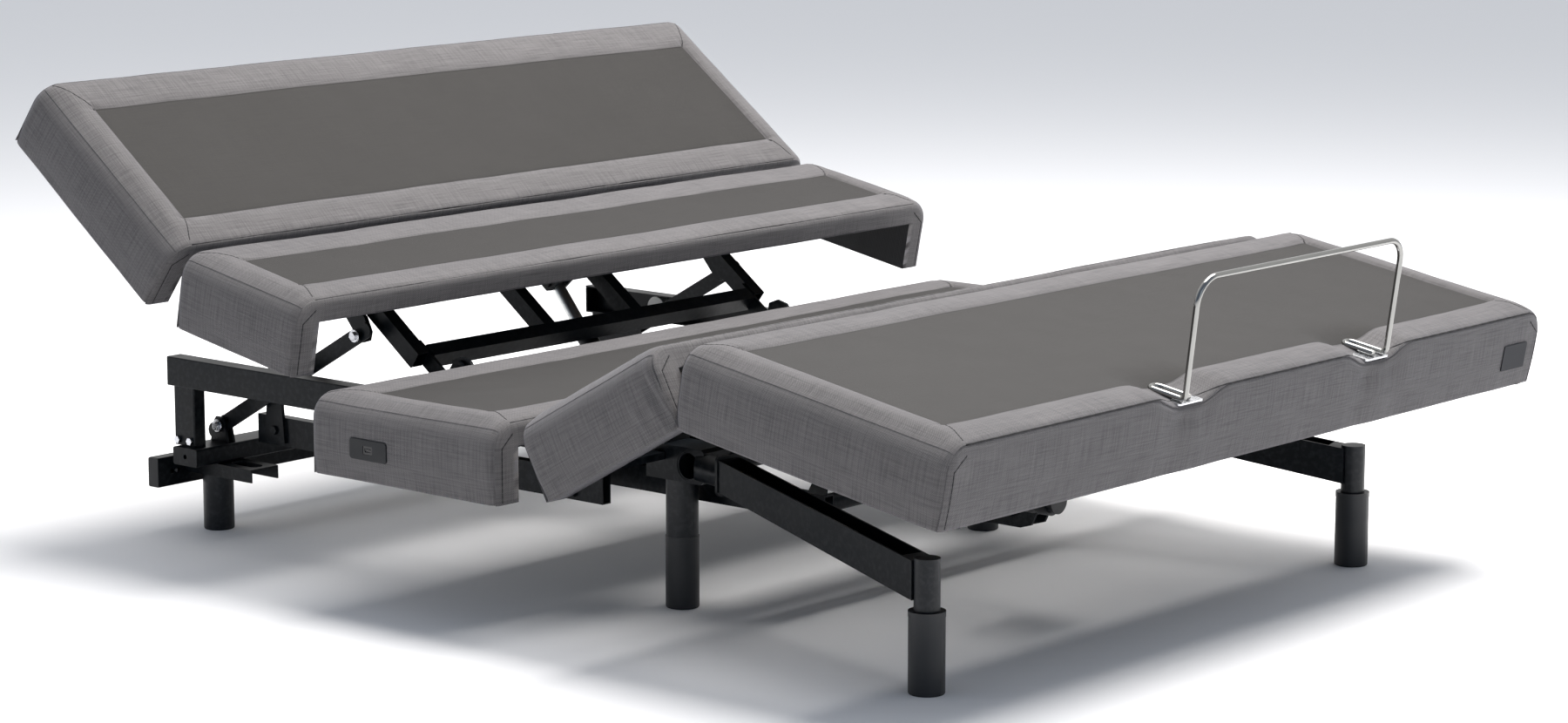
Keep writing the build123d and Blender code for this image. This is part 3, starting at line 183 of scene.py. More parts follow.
def painted(name, col, rough=0.34, metal=0.0, edge=0.5, coat=0.0, gloss=0.5):
    m, nt, b = new_mat(name)
    vec = coords(nt)
    fine = noise_tex(nt, vec, 900.0, 2.0)
    big = noise_tex(nt, vec, 9.0, 4.0)
    c = mix_color(nt, ramp(nt, big.outputs["Fac"], [(0.35, (0,) * 3), (0.7, (1,) * 3)]).outputs["Color"], tuple(x * 0.85 for x in col), tuple(x * 1.25 for x in col))
    geo = N(nt, "ShaderNodeNewGeometry")
    pt = ramp(nt, geo.outputs["Pointiness"], [(0.52, (0,) * 3), (0.60, (1,) * 3)])
    scuff = noise_tex(nt, vec, 120.0, 3.0)
    paler_edge = math_node(nt, "MULTIPLY", pt.outputs["Color"], ramp(nt, scuff.outputs["Fac"], [(0.45, (0,) * 3), (0.7, (1,) * 3)]).outputs["Color"])
    c = mix_color(nt, math_node(nt, "MULTIPLY", paler_edge, edge, True), c, tuple(min(1, x * 3.0 + 0.04) for x in col))
    L(nt, c, b.inputs["Base Color"])
    value_in(b, "Metallic", metal)
    L(nt, ramp(nt, big.outputs["Fac"], [(0.3, (rough - 0.06,) * 3), (0.7, (rough + 0.08,) * 3)]).outputs["Color"], b.inputs["Roughness"])
    value_in(b, "Coat Weight", coat)
    value_in(b, "Coat Roughness", 0.25)
    value_in(b, "Specular IOR Level", gloss)
    L(nt, bump(nt, fine.outputs["Fac"], 0.12, 0.0004), b.inputs["Normal"])
    return m

def metal(name, col, rough, scale=(4, 400, 400), strength=0.08):
    m, nt, b = new_mat(name)
    vec = coords(nt)
    mp = N(nt, "ShaderNodeMapping"); mp.inputs["Scale"].default_value = scale; L(nt, vec, mp.inputs[0])
    streak = noise_tex(nt, mp.outputs[0], 1.0, 2.0)
    big = noise_tex(nt, vec, 30.0, 3.0)
    L(nt, mix_color(nt, big.outputs["Fac"], tuple(c * 0.85 for c in col), col), b.inputs["Base Color"])
    value_in(b, "Metallic", 1.0)
    L(nt, ramp(nt, streak.outputs["Fac"], [(0.3, (max(0.02, rough - 0.05),) * 3), (0.7, (rough + 0.07,) * 3)]).outputs["Color"], b.inputs["Roughness"])
    L(nt, bump(nt, streak.outputs["Fac"], strength, 0.0002), b.inputs["Normal"])
    return m

def plastic(name, col, rough=0.45, grain=700.0, gloss=0.5):
    m, nt, b = new_mat(name)
    vec = coords(nt)
    g = noise_tex(nt, vec, grain, 2.0)
    big = noise_tex(nt, vec, 20.0, 3.0)
    L(nt, mix_color(nt, big.outputs["Fac"], tuple(c * 0.85 for c in col), tuple(min(1, c * 1.2) for c in col)), b.inputs["Base Color"])
    L(nt, ramp(nt, big.outputs["Fac"], [(0.3, (rough - 0.05,) * 3), (0.7, (rough + 0.08,) * 3)]).outputs["Color"], b.inputs["Roughness"])
    value_in(b, "Specular IOR Level", gloss)
    L(nt, bump(nt, g.outputs["Fac"], 0.15, 0.0005), b.inputs["Normal"])
    return m

def plywood(name):
    m, nt, b = new_mat(name)
    vec = coords(nt)
    mp = N(nt, "ShaderNodeMapping"); mp.inputs["Scale"].default_value = (60, 4, 60); L(nt, vec, mp.inputs[0])
    g = noise_tex(nt, mp.outputs[0], 1.0, 5.0, 0.65)
    L(nt, ramp(nt, g.outputs["Fac"], [(0.3, (0.16, 0.10, 0.055)), (0.5, (0.30, 0.20, 0.11)), (0.72, (0.40, 0.28, 0.17))]).outputs["Color"], b.inputs["Base Color"])
    value_in(b, "Roughness", 0.72)
    L(nt, bump(nt, g.outputs["Fac"], 0.25, 0.001), b.inputs["Normal"])
    return m

M_BORDER = fabric("grey_weave", (0.058, 0.055, 0.058), (0.146, 0.138, 0.136), 0.0027, 0.0010, 0.86, 0.16, 0.07, 0.62)
M_PANEL = fabric("inset_weave", (0.0145, 0.0135, 0.0125), (0.0290, 0.0265, 0.0245), 0.0016, 0.0004, 0.78, 0.05, 0.05, 0.28)
# the welts are the real sewn seams; their near-black colour is painted shade of the seam lines
M_SEAM_WELT_SHADE = plastic("seam_welt_painted_shade", (0.010, 0.0095, 0.011), 0.85)
M_LINER = fabric("underside_cloth", (0.020, 0.020, 0.021), (0.045, 0.045, 0.046), 0.0030, 0.0006, 0.95, 0.05)
M_STEEL = painted("black_powder_coat", (0.0022, 0.0036, 0.0052), 0.34, 0.0, 0.20, 0.0, 0.14)
M_LEG = painted("leg_coat", (0.0040, 0.0056, 0.0078), 0.38, 0.0, 0.2, 0.0, 0.30)
M_SLEEVE = plastic("leg_sleeve_plastic", (0.0060, 0.0072, 0.0095), 0.46)
M_PLASTIC = plastic("black_plastic", (0.0040, 0.0050, 0.0068), 0.42, 700.0, 0.30)
M_PORT = plastic("port_black", (0.006, 0.006, 0.007), 0.3)
M_NYLON = plastic("nylon_white", (0.60, 0.60, 0.57), 0.42)
M_ZINC = metal("zinc", (0.62, 0.63, 0.66), 0.26)
# painted reflection: the chrome's base colour is kept dark (0.30) to stand in for the dark surroundings it reflects
M_CHROME = metal("chrome", (0.30, 0.30, 0.29), 0.09, (40, 40, 40), 0.02)
M_ROD = metal("satin_tube", (0.66, 0.67, 0.66), 0.34)
M_PLY = plywood("plywood")
M_LABEL = fabric("label_weave", (0.010, 0.011, 0.013), (0.022, 0.023, 0.026), 0.0012, 0.0003, 0.7, 0.1, 0.05, 0.1)

def paint(node, mat):
    o = nodes[node]
    o.data.materials.clear()
    o.data.materials.append(mat)

for n in nodes:
    paint(n, M_STEEL)
for n in ("head_legs", "leg_tubes"):
    paint(n, M_LEG)
for n in ("leg_sleeves",):
    paint(n, M_SLEEVE)
for n in ("leg_glides", "tube_plugs", "control_box", "back_actuator_body", "lumbar_actuator_body", "thigh_actuator_body", "usb_plate"):
    paint(n, M_PLASTIC)
for n in ("rollers_head", "rollers_foot"):
    paint(n, M_NYLON)
for n in ("base_bolts", "retention_plates"):
    paint(n, M_ZINC)
for n in ("back_actuator_rod", "lumbar_actuator_rod", "thigh_actuator_rod"):
    paint(n, M_ROD)
for n in ("back_deck", "lumbar_deck", "seat_deck", "thigh_deck", "calf_deck"):
    paint(n, M_PLY)
paint("retention_bar", M_CHROME)
paint("usb_port", M_PORT)
paint("foot_label", M_LABEL)

# edges of the pressed and cut steel get a hair-thin rounding that catches the light
for n, o in nodes.items():
    if n.endswith("cushion"):
        continue
    bev = o.modifiers.new("edge", "BEVEL")
    bev.width = 0.0009
    bev.segments = 2
    bev.limit_method = "ANGLE"
    bev.angle_limit = math.radians(40)
    bev.harden_normals = False
    for p in o.data.polygons:
        p.use_smooth = True
    try:
        o.data.set_sharp_from_angle(angle=math.radians(35))
    except Exception:
        pass

# ------------------------------------------------------------------ upholstered sections
OX = 0.0054
HALF = 0.762
SKIRT = 0.1237

class Section:
    """the side-view frame of one deck section: s runs towards the foot edge, h up off the padding surface"""
    def __init__(self, head, foot):
        self.o = np.array([head[0] / 1000 - OX, head[1] / 1000])
        f = np.array([foot[0] / 1000 - OX, foot[1] / 1000])
        self.len = float(np.linalg.norm(f - self.o))
        self.t = (f - self.o) / self.len
        self.n = np.array([-self.t[1], self.t[0]])
    def at(self, s, y, h):
        p = self.o + self.t * s + self.n * h
        return Vector((p[0], y, p[1]))

D_HEAD, D_TILT, D_LEN = (155.0, 342.0), math.radians(29.0), 297.0
SEC = {
    "back": Section((-892.3, 769.6), (-575.9, 530.7)),
    "lumbar": Section((-560.3, 526.4), (-294.9, 475.9)),
    "seat": Section((-274.7, 338.6), (116.9, 338.6)),
    "thigh": Section(D_HEAD, (D_HEAD[0] + D_LEN * math.cos(D_TILT), D_HEAD[1] + D_LEN * math.sin(D_TILT))),
    "calf": Section((482.7, 496.5), (962.2, 413.1)),
}
# border margins: head, foot, side; fascia at head / foot; radii of the side, head and foot roundings; crown height
STYLE = {
    "back": dict(mh=0.0775, mf=0.0611, ms=0.064, fascia_h=True, fascia_f=False, r_side=0.042, r_h=0.020, r_f=0.012, puff=0.0035),
    "lumbar": dict(mh=0.0768, mf=0.0635, ms=0.064, fascia_h=False, fascia_f=False, r_side=0.040, r_h=0.014, r_f=0.016, puff=0.0035),
    "seat": dict(mh=0.0808, mf=0.0684, ms=0.064, fascia_h=False, fascia_f=False, r_side=0.040, r_h=0.015, r_f=0.016, puff=0.0035),
    "thigh": dict(mh=0.066, mf=0.062, ms=0.064, fascia_h=False, fascia_f=False, r_side=0.038, r_h=0.012, r_f=0.012, puff=0.003),
    "calf": dict(mh=0.0639, mf=0.0656, ms=0.064, fascia_h=False, fascia_f=True, r_side=0.042, r_h=0.016, r_f=0.018, puff=0.004),
}
LIP = 0.040          # depth of the turned-down edge where there is no fascia

def smooth01(t):
    t = max(0.0, min(1.0, t))
    return t * t * (3 - 2 * t)

def wrinkle(name, s, y, h, w_top, w_side):
    """small soft unevenness of the padding, in metres along the surface's outward direction"""
    p = Vector((s * 5.5, y * 5.5, 3.1 * (1 + list(SEC).index(name))))
    v = noise.noise(p) * 0.0016 + noise.noise(p * 3.3) * 0.0006
    return v

def puckers(name, s, y, h):
    """the deeper folds that show: under the feet of the retention bar, and at the thigh skirt by the calf"""
    d = 0.0
    if name == "calf":
        for yc in (-0.205, 0.280):
            dy, ds = (y - yc) / 0.062, (s - 0.452) / 0.050
            if h > -0.005:
                d -= 0.021 * math.exp(-(dy * dy * dy * dy + (ds * ds if s < 0.452 else 0.0)))
    if name == "thigh" and abs(y) > 0.72 and s > 0.18:
        t = (s - 0.18) / 0.117
        d += 0.0035 * smooth01(t) * math.sin(s * 210.0 + h * 46.0) * math.exp(-((h + 0.075) / 0.05) ** 2)
    return d

def dent(y, h):
    """how far the foot edge of the calf section is pulled down under the feet of the retention bar, fading down the fascia"""
    d = 0.0
    for yc in (-0.205, 0.280):
        dy = (y - yc) / 0.066
        d -= 0.021 * math.exp(-dy ** 4)
    return d * smooth01(1 + h / 0.075)

def folds(y, h):
    """soft folds that fan down the fascia from each foot of the retention bar, outward in metres"""
    d = 0.0
    for yc in (-0.205, 0.280):
        fan = (y - yc) / (0.045 + 0.75 * (-h))
        env = math.exp(-fan * fan * 2.0) * smooth01((-h - 0.008) / 0.02) * math.exp(h / 0.075)
        d += 0.0050 * env * math.sin(fan * 6.0 + 0.6)
        d -= 0.0040 * math.exp(-fan * fan * 3.0) * math.exp(-((h + 0.035) / 0.02) ** 2)
    return d

def superblock(name):
    """closed rounded form of the section: sampled on a fine box and rounded by distance, which keeps the corner seams true"""
    sec, st = SEC[name], STYLE[name]
    Ls, W = sec.len, HALF
    ms, mh, mf = st["ms"], st["mh"], st["mf"]
    rs, rh, rf = st["r_side"], st["r_h"], st["r_f"]
    dh = SKIRT if st["fascia_h"] else LIP
    df = SKIRT if st["fascia_f"] else LIP
    def ruler(a, b, step, extra=()):
        pts = set([round(a, 5), round(b, 5)])
        n = max(1, int(round((b - a) / step)))
        for i in range(n + 1):
            pts.add(round(a + (b - a) * i / n, 5))
        for e in extra:
            pts = {p for p in pts if abs(p - e) > 0.0022 or p in (round(a, 5), round(b, 5))}
        for e in extra:
            pts.add(round(e, 5))
        return sorted(pts)
    seam_s = []
    for e in (mh, Ls - mf):
        seam_s += [e - 0.0035, e - 0.0012, e + 0.0012, e + 0.0035]
    corner_s = [0.0015, 0.004, 0.008, 0.013, 0.019, 0.027, 0.037] + [Ls - x for x in (0.0015, 0.004, 0.008, 0.013, 0.019, 0.027, 0.037)]
    S = ruler(0.0, Ls, 0.012, tuple(seam_s + corner_s))
    e = W - ms
    seam_y = [e - 0.0035, e - 0.0012, e + 0.0012, e + 0.0035]
    corner_y = [W - x for x in (0.0015, 0.004, 0.008, 0.013, 0.019, 0.027, 0.037)]
    inner_y = [W - 0.050]
    fine = []
    if name == "calf":
        fine = []
    Y = ruler(-W, W, 0.016, tuple(seam_y + corner_y + [-v for v in seam_y + corner_y] + inner_y + [-v for v in inner_y]))
    H = ruler(-SKIRT, 0.0, 0.010, (-0.0015, -0.004, -0.008, -0.013, -0.019, -0.027, -0.037, -LIP, -0.120))
    H = [h for h in H]
    bm = bmesh.new()
    cloth = bm.verts.layers.float_vector.new("cloth")
    paler_edge = bm.verts.layers.float.new("paler_edge")
    # per-point strength of the painted seam shade
    dark = bm.verts.layers.float.new("seam_painted_shade")
    cache = {}
    yin = W - 0.050                 # inner face of the skirts
    def rounded(s, y, h, face):
        """moves a point of the sharp block to the rounded one"""
        ay, sg = abs(y), (1 if y >= 0 else -1)
        # rounding of the long top edges (cylinder about the s axis) and the end edges, one after the other
        cx, cz = W - rs, -rs
        q = Vector((ay, h))
        ny, nh = ay, h
        if ay > cx and h > cz:
            dy, dz = (ay - cx) / rs, (h - cz) / rs
            m = max(dy, dz)
            l = math.hypot(dy, dz)
            if l > 1e-9:
                f = m / l
                ny, nh = cx + dy * f * rs, cz + dz * f * rs
        ns = s
        # end rounding, measured from the rounded section surface
        # depth under the local surface, taken along the outward direction of the side profile
        if ay > cx and h > cz:
            depth = rs - math.hypot(ny - cx, nh - cz)
            outy, outz = (ny - cx), (nh - cz)
            ll = math.hypot(outy, outz) or 1.0
            outy, outz = outy / ll, outz / ll
        elif ay > cx and (W - ay) < (-h):
            depth, outy, outz = W - ay, 1.0, 0.0
        else:
            depth, outy, outz = -h, 0.0, 1.0
        for end, r in ((0, rh), (1, rf)):
            d_end = s if end == 0 else Ls - s
            if d_end < r and depth < r:
                a, b = (r - d_end) / r, (r - depth) / r
                m = max(a, b)
                l = math.hypot(a, b)
                if l > 1e-9:
                    f = m / l
                    nd, ndep = r - a * f * r, r - b * f * r
                    ns = nd if end == 0 else Ls - nd
                    shift = ndep - depth
                    ny -= outy * shift
                    nh -= outz * shift
        return ns, sg * ny, nh, outy * sg, outz, depth
    def seam_field(s, y, h, face):
        """(groove 0..1, painted seam shade 0..1) at a point"""
        ay = abs(y)
        g = 0.0
        d = 0.0
        if face == "top":
            def near(x, w=0.0016):
                return max(0.0, 1 - abs(x) / w)
            if ay <= e + 0.001:
                for c in (mh, Ls - mf):
                    g = max(g, 1.0 if abs(s - c) < 0.0014 else 0.0)
            if mh - 0.0015 <= s <= Ls - mf + 0.0015:
                g = max(g, 1.0 if abs(ay - e) < 0.0014 else 0.0)
        return g, g * 0.30
    def vert(s, y, h, face):
        key = (round(s, 5), round(y, 5), round(h, 5))
        if key in cache:
            return cache[key]
        ns, ny, nh, oy, oz, depth = rounded(s, y, h, face)
        ay = abs(y)
        # crown of the padded top, pulled in along the sewn lines
        edge = min(s, Ls - s, W - ay)
        lift = 0.0
        if h > -1e-6:
            lift = st["puff"] * smooth01((edge - 0.012) / 0.03) * (0.55 + 0.45 * smooth01((ay - (e - 0.05)) / 0.05))
            inside = (mh < s < Ls - mf) and ay < e
            dd = min(abs(s - mh) if ay < e + 0.004 else 9, abs(s - (Ls - mf)) if ay < e + 0.004 else 9, abs(ay - e) if mh - 0.004 < s < Ls - mf + 0.004 else 9)
            if inside:
                lift = st["puff"] * 0.25
            else:
                lift += 0.0022 * smooth01(dd / 0.02)
            if dd < 0.0016:
                lift = min(lift, st["puff"] * 0.25) - 0.0002
            lift -= 0.003 * 1.0
        # skirts belly out a little between their corners and pull in at the bottom hem
        belly = 0.0
        if face == "side":
            t = (h + SKIRT) / SKIRT
            belly = -0.0035 * (1 - smooth01(t / 0.35)) - 0.0012
            belly += 0.0016 * math.sin(math.pi * min(1.0, t * 1.1)) * smooth01(edge_along(s) / 0.05)
        wv = wrinkle(name, s, y, h, 0, 0)
        pk = puckers(name, s, y, h)
        if name == "calf" and face == "end" and s > Ls / 2:
            t = (h + SKIRT) / SKIRT
            bx = 0.003 * math.sin(math.pi * min(1, t)) - 0.003
        else:
            bx = 0.0
        # outward direction
        if face == "top":
            n = Vector((0, 0, 1)) if h > -1e-6 and ay < W - rs else Vector((0, oy, oz))
        elif face == "side":
            n = Vector((0, 1 if y > 0 else -1, 0)) if h < -rs else Vector((0, oy, oz))
        else:
            n = Vector((1 if s > Ls / 2 else -1, 0, 0))
        off = lift + wv
        P = Vector((ns, ny, nh))
        if face == "top":
            P.z += lift
            P += n * wv
            P.z += pk if s < Ls - 0.001 else dent(y, h)
        elif face == "side":
            P += n * (belly + wv + pk)
        else:
            P += n * (bx + wv)
            if name == "calf" and s > Ls / 2:
                P.z += dent(y, h)
                P.x += folds(y, h)
        v = bm.verts.new(sec.at(P.x, P.y, P.z))
        # flat pattern coordinate: side borders run along s, end borders along y
        u = s
        w = ay if face == "top" else (W + (-h))
        if face == "end":
            v[cloth] = Vector((y, (s if s > Ls / 2 else -s) + (-h) * (1 if s > Ls / 2 else -1), 0))
        else:
            v[cloth] = Vector((s, (w if y >= 0 else -w), 0))
        # mask of the long top roundings, where the cloth colour is made paler
        rad = 0.0
        if ay > W - rs * 1.4 and h > -rs * 1.4:
            rad = 1.0 - min(1.0, abs((W - ay) - (-h)) / rs)
        v[paler_edge] = max(0.0, rad)
        g, dk = seam_field(s, y, h, face)
        v[dark] = dk
        cache[key] = v
        return v
    def edge_along(s):
        return min(s, Ls - s)
    faces_mat = []
    def quad(a, b, c, d, mat):
        vs = []
        for x in (a, b, c, d):
            if x not in vs:
                vs.append(x)
        if len(vs) < 3:
            return
        try:
            f = bm.faces.new(vs)
        except ValueError:
            return
        f.material_index = mat
        f.smooth = True
    # top
    for i in range(len(S) - 1):
        for j in range(len(Y) - 1):
            s0, s1, y0, y1 = S[i], S[i + 1], Y[j], Y[j + 1]
            sm, ym = (s0 + s1) / 2, (y0 + y1) / 2
            inside = mh < sm < Ls - mf and abs(ym) < e
            quad(vert(s0, y0, 0, "top"), vert(s1, y0, 0, "top"), vert(s1, y1, 0, "top"), vert(s0, y1, 0, "top"), 1 if inside else 0)
    hb = -SKIRT
    # long sides
    for sg in (-1, 1):
        for i in range(len(S) - 1):
            for k in range(len(H) - 1):
                a, b, c, d = (vert(S[i], sg * W, H[k], "side"), vert(S[i + 1], sg * W, H[k], "side"), vert(S[i + 1], sg * W, H[k + 1], "side"), vert(S[i], sg * W, H[k + 1], "side"))
                if sg < 0:
                    quad(a, b, c, d, 0)
                else:
                    quad(d, c, b, a, 0)
    # ends
    for end in (0, 1):
        depth = dh if end == 0 else df
        x = 0.0 if end == 0 else Ls
        for j in range(len(Y) - 1):
            for k in range(len(H) - 1):
                ym = (Y[j] + Y[j + 1]) / 2
                if abs(ym) < yin and H[k] < -depth - 1e-6:
                    continue
                a, b, c, d = (vert(x, Y[j], H[k], "end"), vert(x, Y[j + 1], H[k], "end"), vert(x, Y[j + 1], H[k + 1], "end"), vert(x, Y[j], H[k + 1], "end"))
                if end == 1:
                    quad(a, b, c, d, 0)
                else:
                    quad(d, c, b, a, 0)
    # inner faces: under the top at the lip depth, and the inside of the skirts
    zu = -LIP + 0.0005
    T0, T1 = 0.030 if st["fascia_h"] else 0.0105, 0.031 if st["fascia_f"] else 0.0105
    def raw(s, y, h, cl=None):
        key = ("raw", round(s, 5), round(y, 5), round(h, 5))
        if key in cache:
            return cache[key]
        v = bm.verts.new(sec.at(s, y, h))
        v[cloth] = Vector((s, y, 0))
        cache[key] = v
        return v
    bottom_pts = []
    hbk = H[0]
    i_h = min(range(len(S)), key=lambda i: abs(S[i] - T0)) if st["fascia_h"] else 0
    i_f = min(range(len(S)), key=lambda i: abs(S[i] - (Ls - T1))) if st["fascia_f"] else len(S) - 1
    # skirt bottoms and insides
    for sg in (-1, 1):
        for i in range(len(S) - 1):
            o0, o1 = vert(S[i], sg * W, hbk, "side"), vert(S[i + 1], sg * W, hbk, "side")
            def inn(s, h):
                # at the ends the inner wall shares the end face's own points
                if s in (S[0], S[-1]):
                    dep = dh if s == S[0] else df
                    if h <= -dep + 1e-6 or h == hbk:
                        hh = min(H, key=lambda q: abs(q - h))
                        return vert(s, sg * yin, hh, "end") if (round(sg * yin, 5) in Y) else raw(s, sg * yin, h)
                return raw(s, sg * yin, h)
            i0_, i1_ = inn(S[i], hbk), inn(S[i + 1], hbk)
            u0, u1 = (inn(S[i], -LIP), inn(S[i + 1], -LIP)) if i_h <= i < i_f else (None, None)
            wall = i_h <= i < i_f
            if sg < 0:
                quad(o1, o0, i0_, i1_, 0)
                if wall:
                    quad(i1_, i0_, u0, u1, 2)
            else:
                quad(o0, o1, i1_, i0_, 0)
                if wall:
                    quad(i0_, i1_, u1, u0, 2)
    # bottom and back of a full-height end fascia
    rows = [y for y in Y if abs(y) <= yin + 1e-6]
    for end, idx in ((0, i_h), (1, i_f)):
        if not st["fascia_h" if end == 0 else "fascia_f"]:
            continue
        x = S[0] if end == 0 else S[-1]
        low = [raw(S[idx], y, hbk) for y in rows]
        high = [raw(S[idx], y, -LIP) for y in rows]
        for j in range(len(rows) - 1):
            quad(low[j], low[j + 1], high[j + 1], high[j], 2)
        ks = list(range(1, idx)) if end == 0 else list(range(len(S) - 2, idx, -1))
        ring = [vert(x, y, hbk, "end") for y in rows] + [raw(S[k], yin, hbk) for k in ks] + low[::-1] + [raw(S[k], -yin, hbk) for k in reversed(ks)]
        bm.faces.new(ring)
    bm.verts.ensure_lookup_table()
    bmesh.ops.remove_doubles(bm, verts=bm.verts, dist=0.00002)
    # close what is open along the underside: fascia backs and the underside sheet
    edges = [ed for ed in bm.edges if ed.is_boundary]
    res = bmesh.ops.holes_fill(bm, edges=edges, sides=0)
    for f in res["faces"]:
        f.material_index = 2
    bmesh.ops.triangulate(bm, faces=[f for f in bm.faces if len(f.verts) > 4])
    bmesh.ops.recalc_face_normals(bm, faces=bm.faces)
    me = bpy.data.meshes.new(name + "_upholstery")
    bm.to_mesh(me)
    bm.free()
    for m in (M_BORDER, M_PANEL, M_LINER):
        me.materials.append(m)
    ob = bpy.data.objects.new(name + "_upholstery", me)
    scene.collection.objects.link(ob)
    return ob

from mathutils.bvhtree import BVHTree

def seam_tube(name, k, tree, sec, path, radius=0.0013, sink=0.0007, closed=False):
    """a sewn line: the points are dropped onto the skin and a thin welt follows them. path: (s, y, h, outward direction in s, y, h)"""
    pts = []
    for s, y, h, ds, dy, dh_ in path:
        o = sec.at(s, y, h)
        tip = sec.at(s + ds, y + dy, h + dh_)
        out = (tip - o).normalized()
        hit = tree.ray_cast(o + out * 0.06, -out, 0.14)
        if hit[0] is None:
            continue
        pts.append((hit[0] - hit[1].normalized() * sink * (1 if hit[1].dot(out) > 0 else -1), out))
    if len(pts) < 2:
        return None
    me = bpy.data.meshes.new(f"{name}_seam_{k}")
    bm = bmesh.new()
    rings = []
    for i, (p, out) in enumerate(pts):
        q0 = pts[max(0, i - 1)][0]
        q1 = pts[min(len(pts) - 1, i + 1)][0]
        t = (q1 - q0).normalized()
        a = out.cross(t).normalized()
        b = t.cross(a).normalized()
        pulse = 1.0 + 0.16 * math.sin(i * 2.1)
        rings.append([bm.verts.new(p + (a * math.cos(w) + b * math.sin(w)) * radius * pulse) for w in [2 * math.pi * j / 6 for j in range(6)]])
    for r0, r1 in zip(rings, rings[1:]):
        for j in range(6):
            bm.faces.new((r0[j], r0[(j + 1) % 6], r1[(j + 1) % 6], r1[j])).smooth = True
    bm.faces.new(list(reversed(rings[0])))
    bm.faces.new(rings[-1])
    bm.to_mesh(me)
    bm.free()
    me.materials.append(M_SEAM_WELT_SHADE)
    o = bpy.data.objects.new(f"{name}_seam_{k}", me)
    scene.collection.objects.link(o)
    return o

def line(a, b, n):
    return [tuple(x + (z - x) * i / n for x, z in zip(a, b)) for i in range(n + 1)]

def seams(name, ob):
    sec, st = SEC[name], STYLE[name]
    Ls, W = sec.len, HALF
    e, mh, mf = W - st["ms"], st["mh"], st["mf"]
    dg = bpy.context.evaluated_depsgraph_get()
    tree = BVHTree.FromObject(ob, dg)
    up = (0, 0, 1)
    out = []
    for sg in (-1, 1):
        # mitres of the border, inset corner to outer corner
        out.append([(*p, *up) for p in line((mh, sg * e, 0.0), (0.010, sg * (e + (mh - 0.010) * 0.55), 0.0), 24)])
        out.append([(*p, *up) for p in line((Ls - mf, sg * e, 0.0), (Ls - 0.012, sg * (e + (mf - 0.012) * 0.45), 0.0), 24)])
    # seam along the foot-side top edge, where the border meets the turned-down strip
    yc = e + (mf - 0.012) * 0.45
    diag = (0.7, 0, 0.7)
    out.append([(*p, *diag) for p in line((Ls - 0.010, -yc, -0.010), (Ls - 0.010, yc, -0.010), 180)])
    yh = e + (mh - 0.010) * 0.55
    out.append([(*p, -0.7, 0, 0.7) for p in line((0.008, -yh, -0.008), (0.008, yh, -0.008), 180)])
    # the corner seams of the skirts, down the end faces
    for sg in (-1, 1):
        ends = [(Ls, 1)]
        if st["fascia_h"]:
            ends.append((0.0, -1))
        for x, d in ends:
            y0 = yc if d > 0 else yh
            yy = W - 0.016
            pth = line((x, sg * y0, -0.020), (x, sg * yy, -0.040), 10) + line((x, sg * yy, -0.042), (x, sg * yy, -SKIRT + 0.003), 26)
            out.append([(*p, d, 0, 0) for p in pth])
    made = []
    for k, p in enumerate(out):
        o = seam_tube(name, k, tree, sec, p)
        if o:
            made.append(o)
    return made

for name in SEC:
    ob = superblock(name)
    body = {"seat": "carriage"}.get(name, name)
    for sm in seams(name, ob):
        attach(sm, body)
    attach(ob, body)
    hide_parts(name + "_cushion")

# ------------------------------------------------------------------ zinc bolt heads on the pivots and brackets
def bolt_head(name, body, at, side, r=0.0075, thick=0.0050):
    """hexagon head on a washer, lying against a face that looks towards side * Y"""
    bm_ = bmesh.new()
    x, y, z = at
    def prism(n, rad, y0, y1, turn):
        ring = []
        for yy, rr in ((y0, rad), (y1 - 0.0006, rad), (y1, rad - 0.0008)):
            ring.append([bm_.verts.new((x + rr * math.cos(turn + 2 * math.pi * i / n), y + side * yy, z + rr * math.sin(turn + 2 * math.pi * i / n))) for i in range(n)])
        for lo_, hi_ in zip(ring, ring[1:]):
            for i in range(n):
                bm_.faces.new((lo_[i], lo_[(i + 1) % n], hi_[(i + 1) % n], hi_[i]))
        bm_.faces.new(list(reversed(ring[0])))
        bm_.faces.new(ring[-1])
    prism(32, r * 1.45, 0.0, 0.0018, 0.0)
    prism(6, r, 0.0014, 0.0014 + thick, 0.3)
    bmesh.ops.recalc_face_normals(bm_, faces=bm_.faces)
    me_ = bpy.data.meshes.new(name)
    bm_.to_mesh(me_)
    bm_.free()
    me_.materials.append(M_ZINC)
    ob_ = bpy.data.objects.new(name, me_)
    scene.collection.objects.link(ob_)
    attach(ob_, body)
    return ob_

for sg, tag in ((-1, "near"), (1, "far")):
    bolt_head("stay_bolt_low_" + tag, "base", (-0.8364, sg * 0.4580, 0.174), sg)
    bolt_head("stay_bolt_top_" + tag, "back", (-0.5054, sg * 0.4545, 0.361), sg)

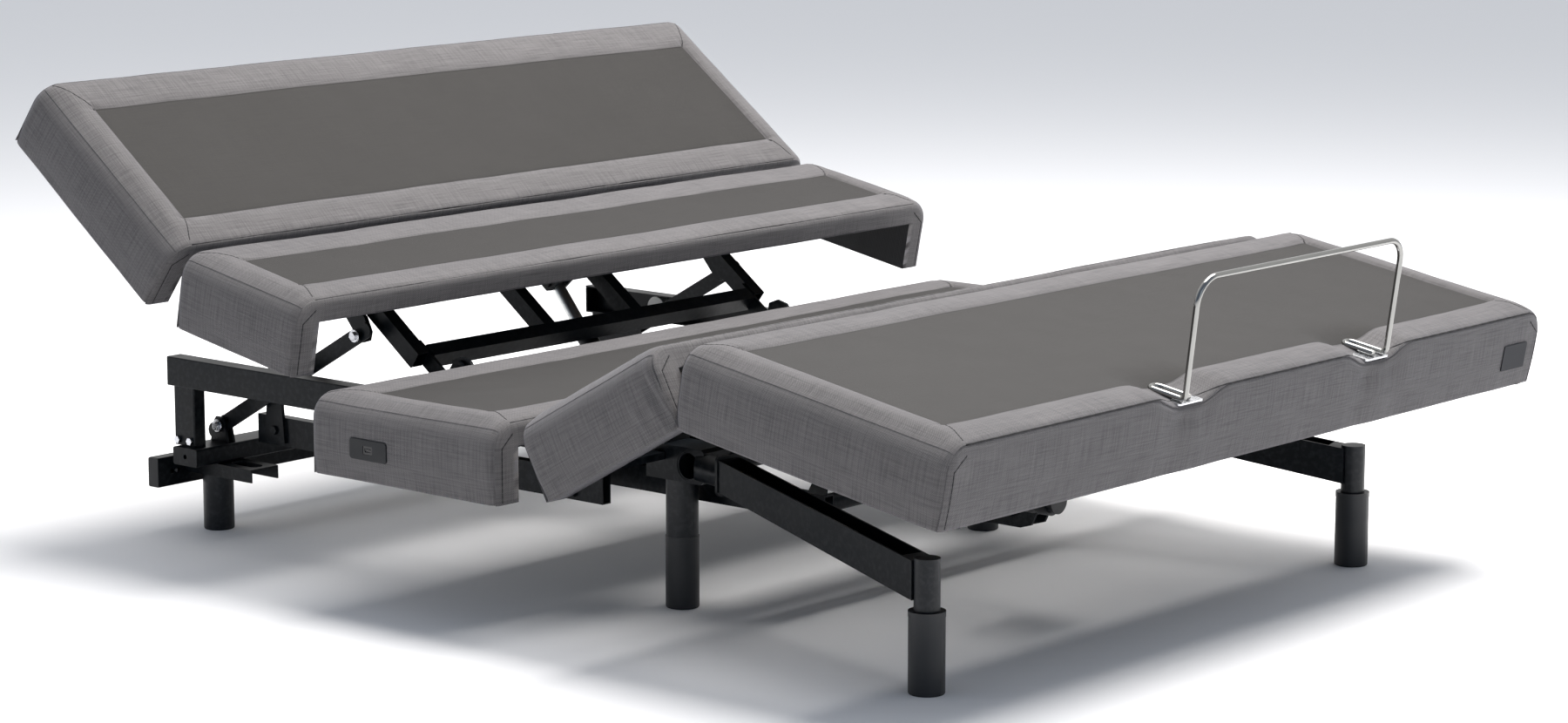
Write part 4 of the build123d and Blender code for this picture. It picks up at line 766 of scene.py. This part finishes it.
# ------------------------------------------------------------------ floor and light
bm = bmesh.new()
bmesh.ops.create_grid(bm, x_segments=2, y_segments=2, size=30)
me = bpy.data.meshes.new("floor")
bm.to_mesh(me); bm.free()
floor = bpy.data.objects.new("floor", me)
scene.collection.objects.link(floor)
mf_, nt_, b_ = new_mat("floor_white")
value_in(b_, "Base Color", (0.92, 0.92, 0.93, 1))
value_in(b_, "Roughness", 0.9)
value_in(b_, "Specular IOR Level", 0.1)
me.materials.append(mf_)

world = bpy.data.worlds.new("studio")
scene.world = world
world.use_nodes = True
bg = world.node_tree.nodes.get("Background")
wt = world.node_tree
wdir = N(wt, "ShaderNodeTexCoord")
wsep = N(wt, "ShaderNodeSeparateXYZ")
L(wt, wdir.outputs["Generated"], wsep.inputs[0])
# direction towards the head end and the far side: +1 there, -1 at the foot end and the near side
side = math_node(wt, "ADD", math_node(wt, "MULTIPLY", wsep.outputs[0], -0.64), math_node(wt, "MULTIPLY", wsep.outputs[1], 0.77))
lit = ramp(wt, math_node(wt, "MULTIPLY_ADD", side, 0.5), [(0.0, (0.15, 0.20, 0.28)), (0.46, (0.44, 0.48, 0.55)), (0.62, (1.0, 1.0, 1.0)), (1.0, (1.0, 1.0, 1.0))])
[n_ for n_ in wt.nodes if n_.bl_idname == "ShaderNodeMath"][-1].inputs[2].default_value = 0.5
L(wt, lit.outputs["Color"], bg.inputs[0])
bg.inputs[1].default_value = 0.95

def area(name, loc, target, size, power, color=(1, 1, 1)):
    d = bpy.data.lights.new(name, "AREA")
    d.shape = "RECTANGLE"
    d.size, d.size_y = size
    d.energy = power
    d.color = color
    o = bpy.data.objects.new(name, d)
    o.location = loc
    o.rotation_mode = "QUATERNION"
    o.rotation_quaternion = (Vector(target) - Vector(loc)).to_track_quat("-Z", "Y")
    scene.collection.objects.link(o)
    return o

area("key", (0.25, 0.75, 3.8), (0.15, 0, 0.3), (3.2, 3.2), 385, (1.0, 0.975, 0.945))
area("fill", (3.8, -1.5, 1.2), (0, 0, 0.3), (2.0, 1.6), 6, (0.84, 0.92, 1.0))

scene.view_settings.view_transform = "Standard"
scene.view_settings.look = "None"
scene.view_settings.exposure = 0.0

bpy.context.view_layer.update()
